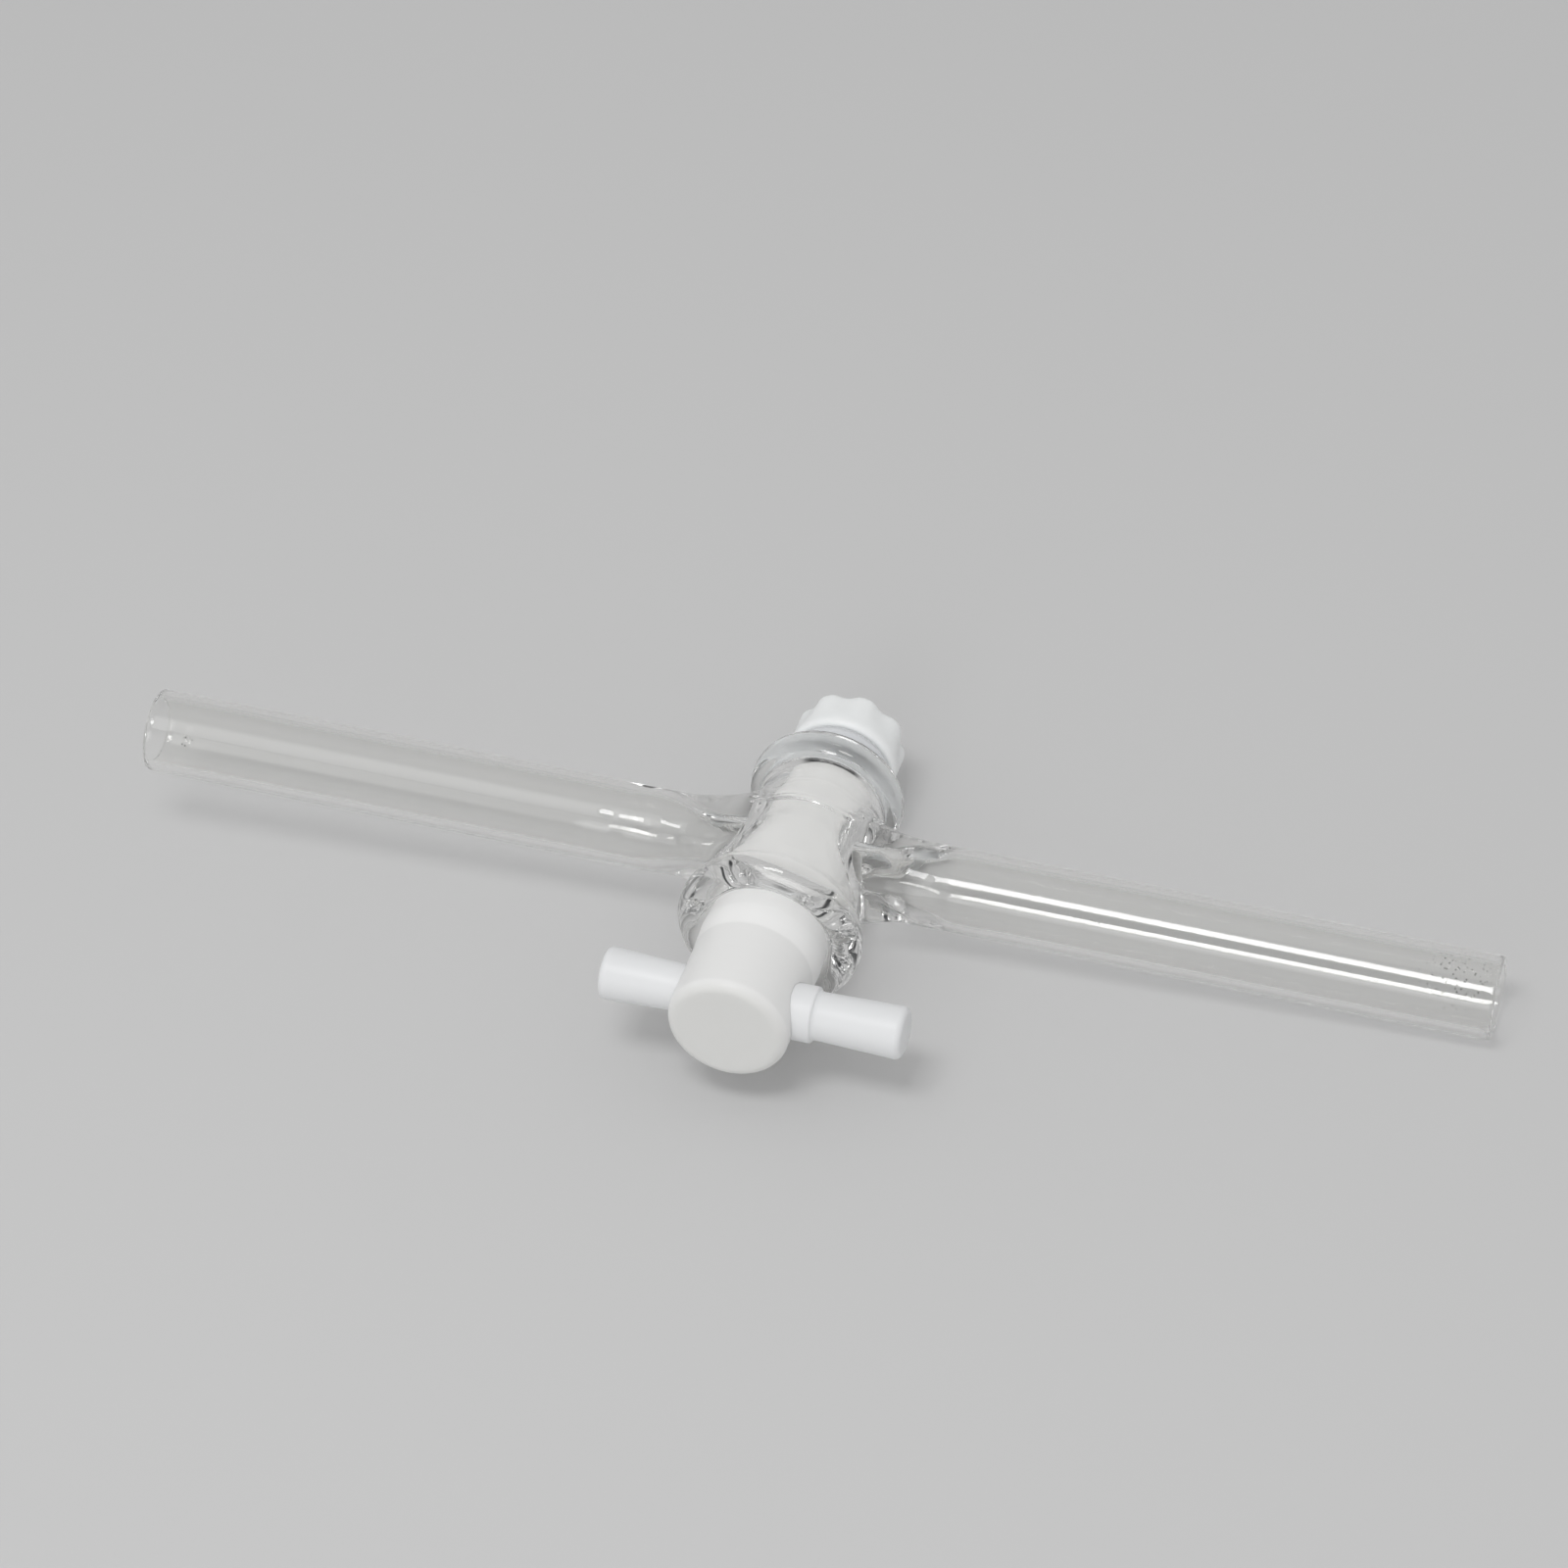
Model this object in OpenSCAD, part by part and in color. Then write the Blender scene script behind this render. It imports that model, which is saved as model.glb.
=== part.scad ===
// Straight-bore glass stopcock with a tapered PTFE key.
// Frame: the origin is where the axis of the tube arms (X) crosses the axis of the key (Y).
// The handle points to -Y, the tension nut to +Y, and Z is up.

/* [Tube arms] */
// Outer diameter of the tube arms
arm_d = 10; // [8.4:0.1:12]
// Glass wall of the tube arms
arm_wall = 1.1; // [0.9:0.05:1.4]
// Reach of the left arm from the key's axis
left_reach = 81.3; // [45:0.1:140]
// Reach of the right arm from the key's axis
right_reach = 84.1; // [45:0.1:140]
// Rounding of the fire-polished tube rims
rim_round = 0.3; // [0.1:0.05:0.4]
// Where an arm starts to flare towards its weld, from the key's axis
weld_reach = 15.5; // [13:0.5:20]
// Radius of the flare that runs into the weld
weld_flare = 21; // [16:1:30]
// Extra radius that an arm gains inside the weld itself
weld_rise = 0.3; // [0.1:0.1:0.5]
// Where the bore of an arm starts to close in
throat_reach = 17.5; // [15:0.5:22]
// Wall of the arms at the inner end of the throat
throat_wall = 1.9; // [1.5:0.1:2.3]
// Centre of the domed end of an arm's bore, from the key's axis
dome_reach = 12.4; // [12.2:0.1:13]
// Diameter of the port from an arm into the ground bore
port_d = 4.4; // [3:0.1:5]

/* [Glass barrel] */
// Wall of the barrel round the front half of the ground bore
barrel_wall = 2.27; // [1.8:0.05:3]
// Wall at the waist of the neck
neck_wall = 1.8; // [1.4:0.05:2.1]
// Diameter over the bell flange at the front
bell_d = 22.4; // [21:0.1:26]
// Place of the bell's widest ring, ahead of the arms
bell_reach = 12.5; // [11.5:0.1:15]
// Radius of the bell's rounded rim
bell_round = 2.3; // [1.8:0.1:2.6]
// Where the bell's flare meets the barrel, ahead of the arms
flare_reach = 8; // [7:0.1:9]
// Start of the step down to the neck, behind the arms
step_start = 1.3; // [0.5:0.1:2]
// End of the step down to the neck
step_end = 2.4; // [2.1:0.1:3]
// Middle of the waisted neck
neck_mid = 4.4; // [4:0.1:5]
// Radius of the waist, seen from the side
neck_curve = 13.3; // [11:0.1:16]
// Crease between the neck and the beaded rim
crease_reach = 9.4; // [9:0.1:10]
// Diameter over the beaded rim at the back
bead_d = 18.8; // [18:0.1:22]
// Place of the bead's widest ring, behind the arms
bead_reach = 11.8; // [11:0.1:12.5]
// Radius of the bead's rear corner, which ends at the ground rear face
bead_round = 1.8; // [1.4:0.1:2.2]

/* [Key] */
// Diameter of the tapered key on the axis of the arms
key_d = 12.54; // [10.4:0.01:13.4]
// Taper of the key: 1 mm of diameter in this many mm of length
taper_ratio = 7; // [5:1:10]
// Bore across the key
key_bore_d = 4; // [2:0.1:4.2]
// Widest ring of the key, ahead of the arms
key_wide_reach = 16.5; // [15.5:0.1:18]
// Diameter of the head
head_d = 14.5; // [13:0.1:16]
// Where the lead-in from the widest ring meets the head
head_start = 19.7; // [19:0.1:21]
// Front face of the head
head_reach = 30.6; // [29.5:0.1:37]
// Rounding of the head's front edge
head_round = 0.85; // [0.3:0.05:1.2]
// How far the taper stops short of the glass, so that the nut always pulls on the washer
key_short = 0.4; // [0.2:0.1:1]
// Thread diameter of the stem
stem_d = 8; // [6.6:0.1:8.2]
// Width of the stem across its two flats
stem_flats = 6.6; // [5.4:0.1:6.8]
// Stem showing past the nut
stem_proud = 1; // [0:0.1:2]
// Chamfer at the end of the stem
stem_chamfer = 0.6; // [0.2:0.1:1]

/* [Handle] */
// Diameter of the bar where it passes through the head
bar_d = 5.6; // [4.6:0.1:6.2]
// Diameter of the bar near its tips
tip_d = 6.3; // [5.4:0.1:7]
// Left tip, from the key's axis
left_tip = 16.4; // [12:0.1:30]
// Right tip, from the key's axis
right_tip = 20; // [14:0.1:30]
// Axis of the bar, ahead of the arms
bar_reach = 25; // [24.5:0.1:25.5]
// Rounding of the tips
tip_round = 0.8; // [0.3:0.1:1.5]
// Diameter of the stop collar
collar_d = 6.7; // [6.5:0.1:8]
// Outer end of the stop collar, from the key's axis
collar_reach = 9.5; // [8.5:0.1:11]

/* [Seals and nut] */
// Thickness of the washer
washer_t = 1.8; // [1:0.1:2.5]
// Least width of the washer's seat on the end face of the glass
washer_seat = 0.8; // [0.6:0.05:1]
// Section diameter of the O-ring
ring_section = 2; // [1.6:0.1:2.4]
// Slack between the stem and the inside of the O-ring
ring_slack = 0.45; // [0.1:0.05:0.6]
// Diameter over the nut's lobes
nut_d = 13.4; // [12.6:0.1:17]
// Thickness of the nut
nut_t = 5.7; // [4:0.1:8]
// Flutes round the nut
flute_count = 8; // [6:1:10]
// Radius of each flute
flute_r = 1.8; // [1.2:0.1:2.2]
// Depth of each flute at the nut's rear face
flute_depth = 0.75; // [0.3:0.05:0.9]
// Width of the smooth ring at the nut's front, where the flutes run out
flute_front = 1.5; // [0.8:0.1:2.5]
// Turn of the nut from the horizontal to its first flute, in degrees
flute_turn = 7.5; // [0:0.5:45]
// Rounding of the nut's edges
nut_round = 0.8; // [0.3:0.1:1.2]
// Chamfer at both mouths of the nut's bore
nut_chamfer = 0.4; // [0.1:0.1:0.8]

/* [Fits] */
// Running gap between the key and the ground bore
ground_gap = 0.05; // [0.01:0.01:0.1]
// Running gap between the stem and the nut, at the crests of the thread
thread_gap = 0.06; // [0.02:0.01:0.1]
// Gap between the stem and the washer's keyed hole
washer_gap = 0.1; // [0.05:0.01:0.2]
// Gap round the bar in the head
bar_gap = 0.02; // [0.01:0.01:0.05]
// Gap between the collar's rim and the edge of its spot face
spot_gap = 0.1; // [0.05:0.05:0.2]
// Gap between seals, nut and glass end faces
face_gap = 0.02; // [0.01:0.01:0.05]

/* [Hidden] */
$fn = 96;
// Overrun that keeps a cutting solid clear of the faces it cuts
over = 1;
// How far neighbouring outlines run on inside each other, so that they cross cleanly
tuck = 0.1;

// A derived radius kept to a micrometre, so that a round ends exactly where the next outline starts
function micron(x) = round(x * 1000) / 1000;

// Radius of the key at a place y along its axis
function key_r(y) = key_d / 2 - y / (2 * taper_ratio);
// Radius of the ground bore at a place y
function bore_r(y) = key_r(y) + ground_gap;

arm_r = arm_d / 2;
tube_r = arm_r - arm_wall;
throat_r = arm_r - throat_wall;

neck_r = micron(bore_r(neck_mid) + neck_wall);
// Radius of the waisted neck at a place y
function waist_r(y) = neck_r + neck_curve - sqrt(pow(neck_curve, 2) - pow(y - neck_mid, 2));

// An arm's flare ends at the barrel's side, and its root is buried in the barrel's wall
weld_mouth = bore_r(0) + barrel_wall;
weld_mouth_r = arm_r + weld_flare - sqrt(pow(weld_flare, 2) - pow(weld_reach - weld_mouth, 2));
weld_root_r = weld_mouth_r + weld_rise;
weld_root = sqrt(pow(waist_r(step_end), 2) - pow(weld_root_r, 2));
// Slope of the root, which the flare's round cuts off at the weld's mouth
weld_slope = weld_rise / (weld_mouth - weld_root);

bell_centre_r = bell_d / 2 - bell_round;
flare_foot_r = micron(bore_r(-flare_reach) + barrel_wall);
// The flare is a hollow curve, tangent to the barrel and to the bell's rim
flare_drop = flare_foot_r - bell_centre_r;
flare_run = bell_reach - flare_reach;
flare_span = pow(flare_run, 2) + pow(flare_drop, 2) - pow(bell_round, 2);
flare_r = micron(flare_span / (2 * (bell_round - flare_drop))) + 0.001;
glass_end = bead_reach + bead_round;
// The bead's front shoulder is a round from its widest ring down to the crease
bead_rise = bead_d / 2 - waist_r(crease_reach);
bead_run = bead_reach - crease_reach;
shoulder_r = micron((pow(bead_run, 2) + pow(bead_rise, 2)) / (2 * bead_rise));
// The step down to the neck is a cone, carried on until it is under the neck's outline
step_top_r = bore_r(step_start) + barrel_wall;
step_slope = (step_top_r - waist_r(step_end)) / (step_end - step_start);

stem_r = stem_d / 2;
washer_start = glass_end + face_gap;
ring_start = washer_start + washer_t;
nut_start = ring_start + ring_section + face_gap;
nut_end = nut_start + nut_t;
stem_end = nut_end + stem_proud;
ring_mean_r = stem_r + ring_slack + ring_section / 2;
washer_r = max(ring_mean_r + ring_section / 2, bore_r(glass_end) + washer_seat);
nut_bore_r = stem_r + thread_gap;
// A flute is scooped: its axis leans in towards the rear face
flute_tilt = atan(flute_depth / (nut_t - flute_front));

// The collar seats on a spot face cut into the round of the head
spot_r = collar_d / 2 + spot_gap;
spot_reach = sqrt(pow(head_d / 2, 2) - spot_r * spot_r);

// Turns a shape drawn along Z so that it runs along +Y
module along_y() rotate([-90, 0, 0]) children();
// Turns a shape drawn along Z so that it runs along +X
module along_x() rotate([0, 90, 0]) children();

// Outline of the barrel: radius across, place along the key's axis upwards
module barrel_outline() {
    translate([bell_centre_r, -bell_reach]) circle(r = bell_round);
    difference() {
        polygon([
            [0, -bell_reach], [bell_centre_r, -bell_reach],
            [flare_foot_r + flare_r, -flare_reach], [flare_foot_r, -flare_reach], [0, -flare_reach]
        ]);
        translate([flare_foot_r + flare_r, -flare_reach]) circle(r = flare_r);
    }
    polygon([
        [0, -flare_reach], [flare_foot_r, -flare_reach], [step_top_r, step_start],
        [waist_r(step_end) - step_slope * tuck, step_end + tuck], [0, step_end + tuck]
    ]);
    difference() {
        translate([0, step_start]) square([bead_d / 2, crease_reach + tuck - step_start]);
        translate([neck_r + neck_curve, neck_mid]) circle(r = neck_curve);
    }
    intersection() {
        translate([0, crease_reach - tuck]) square([bead_d / 2, bead_run + tuck]);
        union() {
            translate([bead_d / 2 - shoulder_r, bead_reach]) circle(r = shoulder_r);
            translate([0, crease_reach - tuck]) square([bead_d / 2 - shoulder_r, bead_run + tuck]);
        }
    }
    translate([0, bead_reach]) square([bead_d / 2 - bead_round, bead_round]);
    translate([bead_d / 2 - bead_round, bead_reach]) circle(r = bead_round);
}

// Outline of one arm with its weld flare: radius across, reach upwards
module arm_outline(reach) {
    difference() {
        polygon([
            [0, weld_root], [weld_root_r, weld_root],
            [weld_root_r - weld_slope * (weld_reach - weld_root), weld_reach], [0, weld_reach]
        ]);
        translate([arm_r + weld_flare, weld_reach]) circle(r = weld_flare);
    }
    translate([0, weld_reach]) square([arm_r, reach - rim_round - weld_reach]);
    translate([0, reach - rim_round]) square([arm_r - rim_round, rim_round]);
    translate([arm_r - rim_round, reach - rim_round]) circle(r = rim_round);
}

// Hollow of one arm, drawn along Z: port, domed end, throat and tube bore
module arm_hollow(reach) {
    cylinder(d = port_d, h = dome_reach);
    translate([0, 0, dome_reach]) sphere(r = throat_r);
    translate([0, 0, dome_reach]) cylinder(r1 = throat_r, r2 = tube_r, h = throat_reach - dome_reach);
    translate([0, 0, throat_reach]) cylinder(r = tube_r, h = reach - throat_reach + over);
}

// One fused piece of glass: barrel, bell flange, beaded rim and both tube arms
module glass_body() {
    color([0.80, 0.88, 0.90, 0.45])
    difference() {
        union() {
            along_y() rotate_extrude() barrel_outline();
            along_x() rotate_extrude() arm_outline(right_reach);
            mirror([1, 0, 0]) along_x() rotate_extrude() arm_outline(left_reach);
        }
        along_y() translate([0, 0, -bell_reach - bell_round - over])
            cylinder(
                r1 = bore_r(-bell_reach - bell_round - over),
                r2 = bore_r(glass_end + over),
                h = bell_reach + bell_round + glass_end + 2 * over
            );
        along_x() arm_hollow(right_reach);
        mirror([1, 0, 0]) along_x() arm_hollow(left_reach);
    }
}

// The key: head, lead-in, ground taper and threaded stem with two flats, turned as one piece
module plug() {
    color([0.93, 0.93, 0.93])
    difference() {
        union() {
            along_y() rotate_extrude() {
                translate([0, -head_reach]) square([head_d / 2 - head_round, head_round]);
                translate([head_d / 2 - head_round, -head_reach + head_round]) circle(r = head_round);
                translate([0, -head_reach + head_round])
                    square([head_d / 2, head_reach - head_round - head_start]);
                polygon([
                    [0, -head_start], [head_d / 2, -head_start],
                    [key_r(-key_wide_reach), -key_wide_reach],
                    [key_r(glass_end - key_short), glass_end - key_short],
                    [0, glass_end - key_short]
                ]);
            }
            intersection() {
                along_y() cylinder(r = stem_r, h = stem_end - stem_chamfer);
                stem_slab();
            }
            intersection() {
                along_y() translate([0, 0, stem_end - stem_chamfer])
                    cylinder(r1 = stem_r, r2 = stem_r - stem_chamfer, h = stem_chamfer);
                stem_slab();
            }
        }
        translate([-key_d, 0, 0]) along_x() cylinder(d = key_bore_d, h = 2 * key_d);
        translate([-head_d, -bar_reach, 0]) along_x() cylinder(r = bar_d / 2 + bar_gap, h = 2 * head_d);
        translate([spot_reach, -bar_reach, 0]) along_x() cylinder(r = spot_r, h = head_d);
    }
}

// Slab that leaves the two flats on the stem
module stem_slab() {
    translate([-stem_flats / 2, 0, -stem_d]) cube([stem_flats, stem_end + over, 2 * stem_d]);
}

// T-bar pushed through the head from the right, up to its collar
module handle() {
    color([0.93, 0.93, 0.92])
    translate([0, -bar_reach, 0]) along_x() {
        translate([0, 0, -head_d / 2]) cylinder(d = bar_d, h = head_d);
        translate([0, 0, spot_reach]) cylinder(d = collar_d, h = collar_reach - spot_reach);
        bar_end(right_tip, head_d / 2);
        mirror([0, 0, 1]) bar_end(left_tip, head_d / 2);
    }
}

// One end of the bar, drawn along Z: a slight swell to the rounded tip
module bar_end(reach, start) {
    translate([0, 0, start])
        cylinder(d1 = bar_d, d2 = tip_d, h = reach - tip_round - start);
    translate([0, 0, reach - tip_round]) rotate_extrude() {
        square([tip_d / 2 - tip_round, tip_round]);
        intersection() {
            translate([tip_d / 2 - tip_round, 0]) circle(r = tip_round);
            square([tip_d / 2, tip_round]);
        }
    }
}

// Washer whose hole has two flats, so that it turns with the key
module washer() {
    color([0.80, 0.81, 0.82])
    along_y() translate([0, 0, washer_start]) linear_extrude(height = washer_t)
        difference() {
            circle(r = washer_r);
            intersection() {
                circle(r = stem_r + washer_gap);
                square([stem_flats + 2 * washer_gap, 3 * stem_d], center = true);
            }
        }
}

// Elastic ring that keeps the key drawn into its taper
module o_ring() {
    color([0.86, 0.87, 0.88])
    along_y() translate([0, 0, ring_start + ring_section / 2]) rotate_extrude()
        translate([ring_mean_r, 0]) circle(d = ring_section);
}

// Tension nut with scooped flutes
module nut() {
    color([0.92, 0.93, 0.94])
    along_y() translate([0, 0, nut_start]) difference() {
        rotate_extrude() difference() {
            union() {
                square([nut_d / 2 - nut_round, nut_t]);
                translate([0, nut_round]) square([nut_d / 2, nut_t - 2 * nut_round]);
                translate([nut_d / 2 - nut_round, nut_round]) circle(r = nut_round);
                translate([nut_d / 2 - nut_round, nut_t - nut_round]) circle(r = nut_round);
            }
            square([nut_bore_r, nut_t]);
            polygon([[0, 0], [nut_bore_r + nut_chamfer, 0], [0, nut_bore_r + nut_chamfer]]);
            polygon([[0, nut_t], [nut_bore_r + nut_chamfer, nut_t], [0, nut_t - nut_bore_r - nut_chamfer]]);
        }
        for (i = [0:flute_count - 1])
            rotate([0, 0, -flute_turn - i * 360 / flute_count])
                translate([nut_d / 2, 0, flute_front]) rotate([0, -flute_tilt, 0])
                    translate([flute_r, 0, -nut_t]) cylinder(r = flute_r, h = 3 * nut_t);
    }
}

glass_body();
plug();
handle();
washer();
o_ring();
nut();
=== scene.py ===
"""Glass stopcock: a one-piece glass body, a turned PTFE key, a moulded handle, seals and a nut.

The frame is the CAD's: the tube arms lie along X, the key along Y with its handle at -Y, Z is up.
Sizes in the classes are millimetres, and become metres where a mesh, lamp or material is made.
"""

import logging
import math
from contextlib import contextmanager
from dataclasses import dataclass
from enum import Enum
from functools import partial
from typing import Callable, Iterator, Mapping, Sequence

import bpy
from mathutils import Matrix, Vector


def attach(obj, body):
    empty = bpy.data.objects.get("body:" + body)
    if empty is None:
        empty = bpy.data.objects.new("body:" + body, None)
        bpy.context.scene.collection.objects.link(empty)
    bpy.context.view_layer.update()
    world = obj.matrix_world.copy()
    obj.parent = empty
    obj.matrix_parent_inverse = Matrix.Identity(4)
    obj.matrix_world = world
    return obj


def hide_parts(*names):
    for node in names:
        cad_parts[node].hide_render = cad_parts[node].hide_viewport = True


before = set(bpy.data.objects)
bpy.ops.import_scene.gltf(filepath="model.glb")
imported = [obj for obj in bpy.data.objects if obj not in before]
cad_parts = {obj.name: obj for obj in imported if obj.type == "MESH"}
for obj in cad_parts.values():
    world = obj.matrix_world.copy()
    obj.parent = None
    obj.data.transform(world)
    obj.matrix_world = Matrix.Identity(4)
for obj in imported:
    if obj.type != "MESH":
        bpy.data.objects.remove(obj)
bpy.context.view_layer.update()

MM = 0.001
FULL_TURN = 2 * math.pi
MERGE_MM = 0.001
PUSH_ROUNDS = 40
CUT_THRESHOLD = 1e-7
NEAR_MM = 0.01
# A 1 in 7 taper on the diameter: the radius falls by 1 mm in this many mm
TAPER_RUN = 14.0

Outline = Sequence[tuple[float, float]]
Point = tuple[float, float, float]
Adder = Callable[..., bpy.types.Node]
log = logging.getLogger("stopcock")


class Axis(Enum):
    """The two axes that pieces are turned about."""

    ARMS = (1.0, 0.0, 0.0)
    KEY = (0.0, 1.0, 0.0)

    def place(self, radius: float, along: float, turn: float) -> Vector:
        """A point in metres.

        Args:
            radius: distance from this axis, in mm.
            along: place along this axis, in mm.
            turn: angle round this axis, in radians.

        Returns:
            The point in the frame.
        """
        across, up = radius * math.cos(turn), radius * math.sin(turn)
        if self is Axis.ARMS:
            return Vector((along, across, up)) * MM
        return Vector((across, along, up)) * MM


class Join(Enum):
    """The ways in which one solid works on another."""

    ADD = "UNION"
    CUT = "DIFFERENCE"
    KEEP = "INTERSECT"


class Pick(Enum):
    """What is picked in edit mode."""

    POINTS = "VERT"
    EDGES = "EDGE"
    FACES = "FACE"


# ---------------------------------------------------------------- work at the bench


def take(piece: bpy.types.Object) -> None:
    """Makes one piece the only selected and active one.

    Args:
        piece: the piece.
    """
    bpy.ops.object.select_all(action="DESELECT")
    piece.select_set(True)
    bpy.context.view_layer.objects.active = piece


@contextmanager
def editing(piece: bpy.types.Object, pick: Pick = Pick.POINTS) -> Iterator[None]:
    """Opens a piece in edit mode with nothing picked, and closes it afterwards.

    Args:
        piece: the piece to work on.
        pick: what the operators pick.

    Yields:
        Nothing: the piece is open meanwhile.
    """
    take(piece)
    bpy.ops.object.mode_set(mode="EDIT")
    bpy.ops.mesh.select_mode(type=pick.value)
    bpy.ops.mesh.select_all(action="DESELECT")
    yield
    bpy.ops.object.mode_set(mode="OBJECT")


def pick_where(piece: bpy.types.Object, pick: Pick, wanted: Callable[[Vector], bool]) -> None:
    """Picks the parts of a mesh whose middle passes a test, inside editing().

    Args:
        piece: the piece that is open in edit mode.
        pick: points, edges or faces.
        wanted: the test on a middle point, in metres.
    """
    bpy.ops.mesh.select_mode(type=pick.value)
    bpy.ops.mesh.select_all(action="DESELECT")
    bpy.ops.object.mode_set(mode="OBJECT")
    mesh = piece.data
    if pick is Pick.FACES:
        for face in mesh.polygons:
            face.select = wanted(face.center)
    elif pick is Pick.EDGES:
        for edge in mesh.edges:
            a, b = (mesh.vertices[i].co for i in edge.vertices)
            edge.select = wanted((a + b) / 2)
    else:
        for point in mesh.vertices:
            point.select = wanted(point.co)
    bpy.ops.object.mode_set(mode="EDIT")


def pick_rims(piece: bpy.types.Object, wanted: Callable[[Vector], bool]) -> list[int]:
    """Picks the open edges of a mesh whose first point passes a test, inside editing().

    Args:
        piece: the piece that is open in edit mode.
        wanted: the test on the point, in metres.

    Returns:
        The numbers of the points on these edges.
    """
    bpy.ops.mesh.select_non_manifold(
        extend=False, use_wire=False, use_boundary=True, use_multi_face=False,
        use_non_contiguous=False, use_verts=False,
    )
    bpy.ops.object.mode_set(mode="OBJECT")
    mesh = piece.data
    for edge in mesh.edges:
        edge.select = edge.select and wanted(mesh.vertices[edge.vertices[0]].co)
    rim = {i for edge in mesh.edges if edge.select for i in edge.vertices}
    bpy.ops.object.mode_set(mode="EDIT")
    return sorted(rim)


def mend() -> None:
    """Merges doubled points and turns the faces outwards, inside editing()."""
    bpy.ops.mesh.select_all(action="SELECT")
    bpy.ops.mesh.remove_doubles(threshold=MERGE_MM * MM)
    bpy.ops.mesh.normals_make_consistent(inside=False)


def draw_chain(name: str, points: Sequence[Vector]) -> bpy.types.Object:
    """Draws an open chain of edges, starting from a small plane that is merged to its middle.

    Args:
        name: the piece's name.
        points: the chain's points, in metres.

    Returns:
        The piece, at the origin.
    """
    bpy.ops.mesh.primitive_plane_add(size=MM, location=points[0])
    piece = bpy.context.active_object
    piece.name = piece.data.name = name
    bpy.ops.object.transform_apply(location=True, rotation=True, scale=True)
    with editing(piece):
        bpy.ops.mesh.select_all(action="SELECT")
        bpy.ops.mesh.merge(type="CENTER")
        for last, point in zip(points, points[1:]):
            bpy.ops.mesh.extrude_vertices_move(TRANSFORM_OT_translate={"value": point - last})
    return piece


def turned(
    name: str, outline: Outline, axis: Axis, steps: int = 96, first_turn: float = 0.0
) -> bpy.types.Object:
    """Spins an outline round an axis, as on a lathe.

    Args:
        name: the piece's name.
        outline: (radius, place along the axis) pairs in mm. One that starts and ends on the
            axis, or where it started, gives a closed solid.
        axis: the axis to spin about.
        steps: the facets of a full turn.
        first_turn: the angle of the drawn outline, in radians.

    Returns:
        The spun piece.
    """
    piece = draw_chain(name, [axis.place(r, along, first_turn) for r, along in outline])
    with editing(piece):
        bpy.ops.mesh.select_all(action="SELECT")
        bpy.ops.mesh.spin(steps=steps, angle=FULL_TURN, center=(0, 0, 0), axis=axis.value)
        mend()
    return piece


def rod(
    name: str, radius: float, start: float, end: float, axis: Axis, steps: int = 96
) -> bpy.types.Object:
    """A plain rod about an axis, from a start to an end in mm."""
    return turned(name, [(0.0, start), (radius, start), (radius, end), (0.0, end)], axis, steps)


def helix(
    name: str, section: Outline, pitch: float, turns: float, steps: int = 64
) -> bpy.types.Object:
    """Sweeps a closed section along a screw line about the key's axis.

    Args:
        name: the piece's name.
        section: (radius, place) corners of the section in mm, not repeated at the end.
        pitch: advance in one turn, in mm.
        turns: how many turns.
        steps: the facets of one turn.

    Returns:
        The closed ridge.
    """
    corners = [Axis.KEY.place(r, along, 0.0) for r, along in section]
    piece = draw_chain(name, [*corners, corners[0]])
    with editing(piece):
        mend()
    screw = piece.modifiers.new("Screw", "SCREW")
    screw.axis = "Y"
    screw.angle = FULL_TURN * turns
    screw.screw_offset = pitch * turns * MM
    screw.steps = screw.render_steps = round(steps * turns)
    apply(piece)
    with editing(piece, Pick.EDGES):
        bpy.ops.mesh.select_all(action="SELECT")
        bpy.ops.mesh.fill_holes(sides=0)
        mend()
    return piece


def apply(piece: bpy.types.Object) -> None:
    """Applies every modifier of a piece, in order.

    Args:
        piece: the piece.
    """
    take(piece)
    for modifier in list(piece.modifiers):
        bpy.ops.object.modifier_apply(modifier=modifier.name)


def smoothed(piece: bpy.types.Object, level: int) -> None:
    """Applies a subdivision surface of a level to a piece.

    Args:
        piece: the piece, a cage.
        level: how many times each face is parted.
    """
    skin = piece.modifiers.new("Skin", "SUBSURF")
    skin.levels = skin.render_levels = level
    apply(piece)


def combine(
    piece: bpy.types.Object, tool: bpy.types.Object, join: Join, solver: str = "MANIFOLD"
) -> None:
    """Works one solid on another and clears the tool away.

    Args:
        piece: the solid that stays.
        tool: the solid that adds, cuts or limits.
        join: what the tool does.
        solver: Blender's solver.
    """
    boolean = piece.modifiers.new("Combine", "BOOLEAN")
    boolean.operation, boolean.solver, boolean.object = join.value, solver, tool
    apply(piece)
    bpy.data.objects.remove(tool)


def cut_across(along_x: float, side: int, keep: bool = False) -> None:
    """Cuts all of a piece with a plane square to X, inside editing(); the cut stays picked.

    Args:
        along_x: the plane's distance from the key's axis, in mm.
        side: 1 to cut on the right and -1 on the left.
        keep: leaves what is beyond the plane on, so that the cut is only a row of points.
    """
    bpy.ops.mesh.select_all(action="SELECT")
    bpy.ops.mesh.bisect(
        plane_co=(side * along_x * MM, 0, 0), plane_no=(side, 0, 0), use_fill=not keep,
        clear_outer=not keep, threshold=CUT_THRESHOLD,
    )


def cut_flats(piece: bpy.types.Object, half: float) -> None:
    """Cuts two flats on a piece, at a distance in mm on both sides of the key's axis.

    Args:
        piece: the piece.
        half: the distance.
    """
    with editing(piece):
        for side in (1, -1):
            cut_across(half, side)
        mend()


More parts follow.
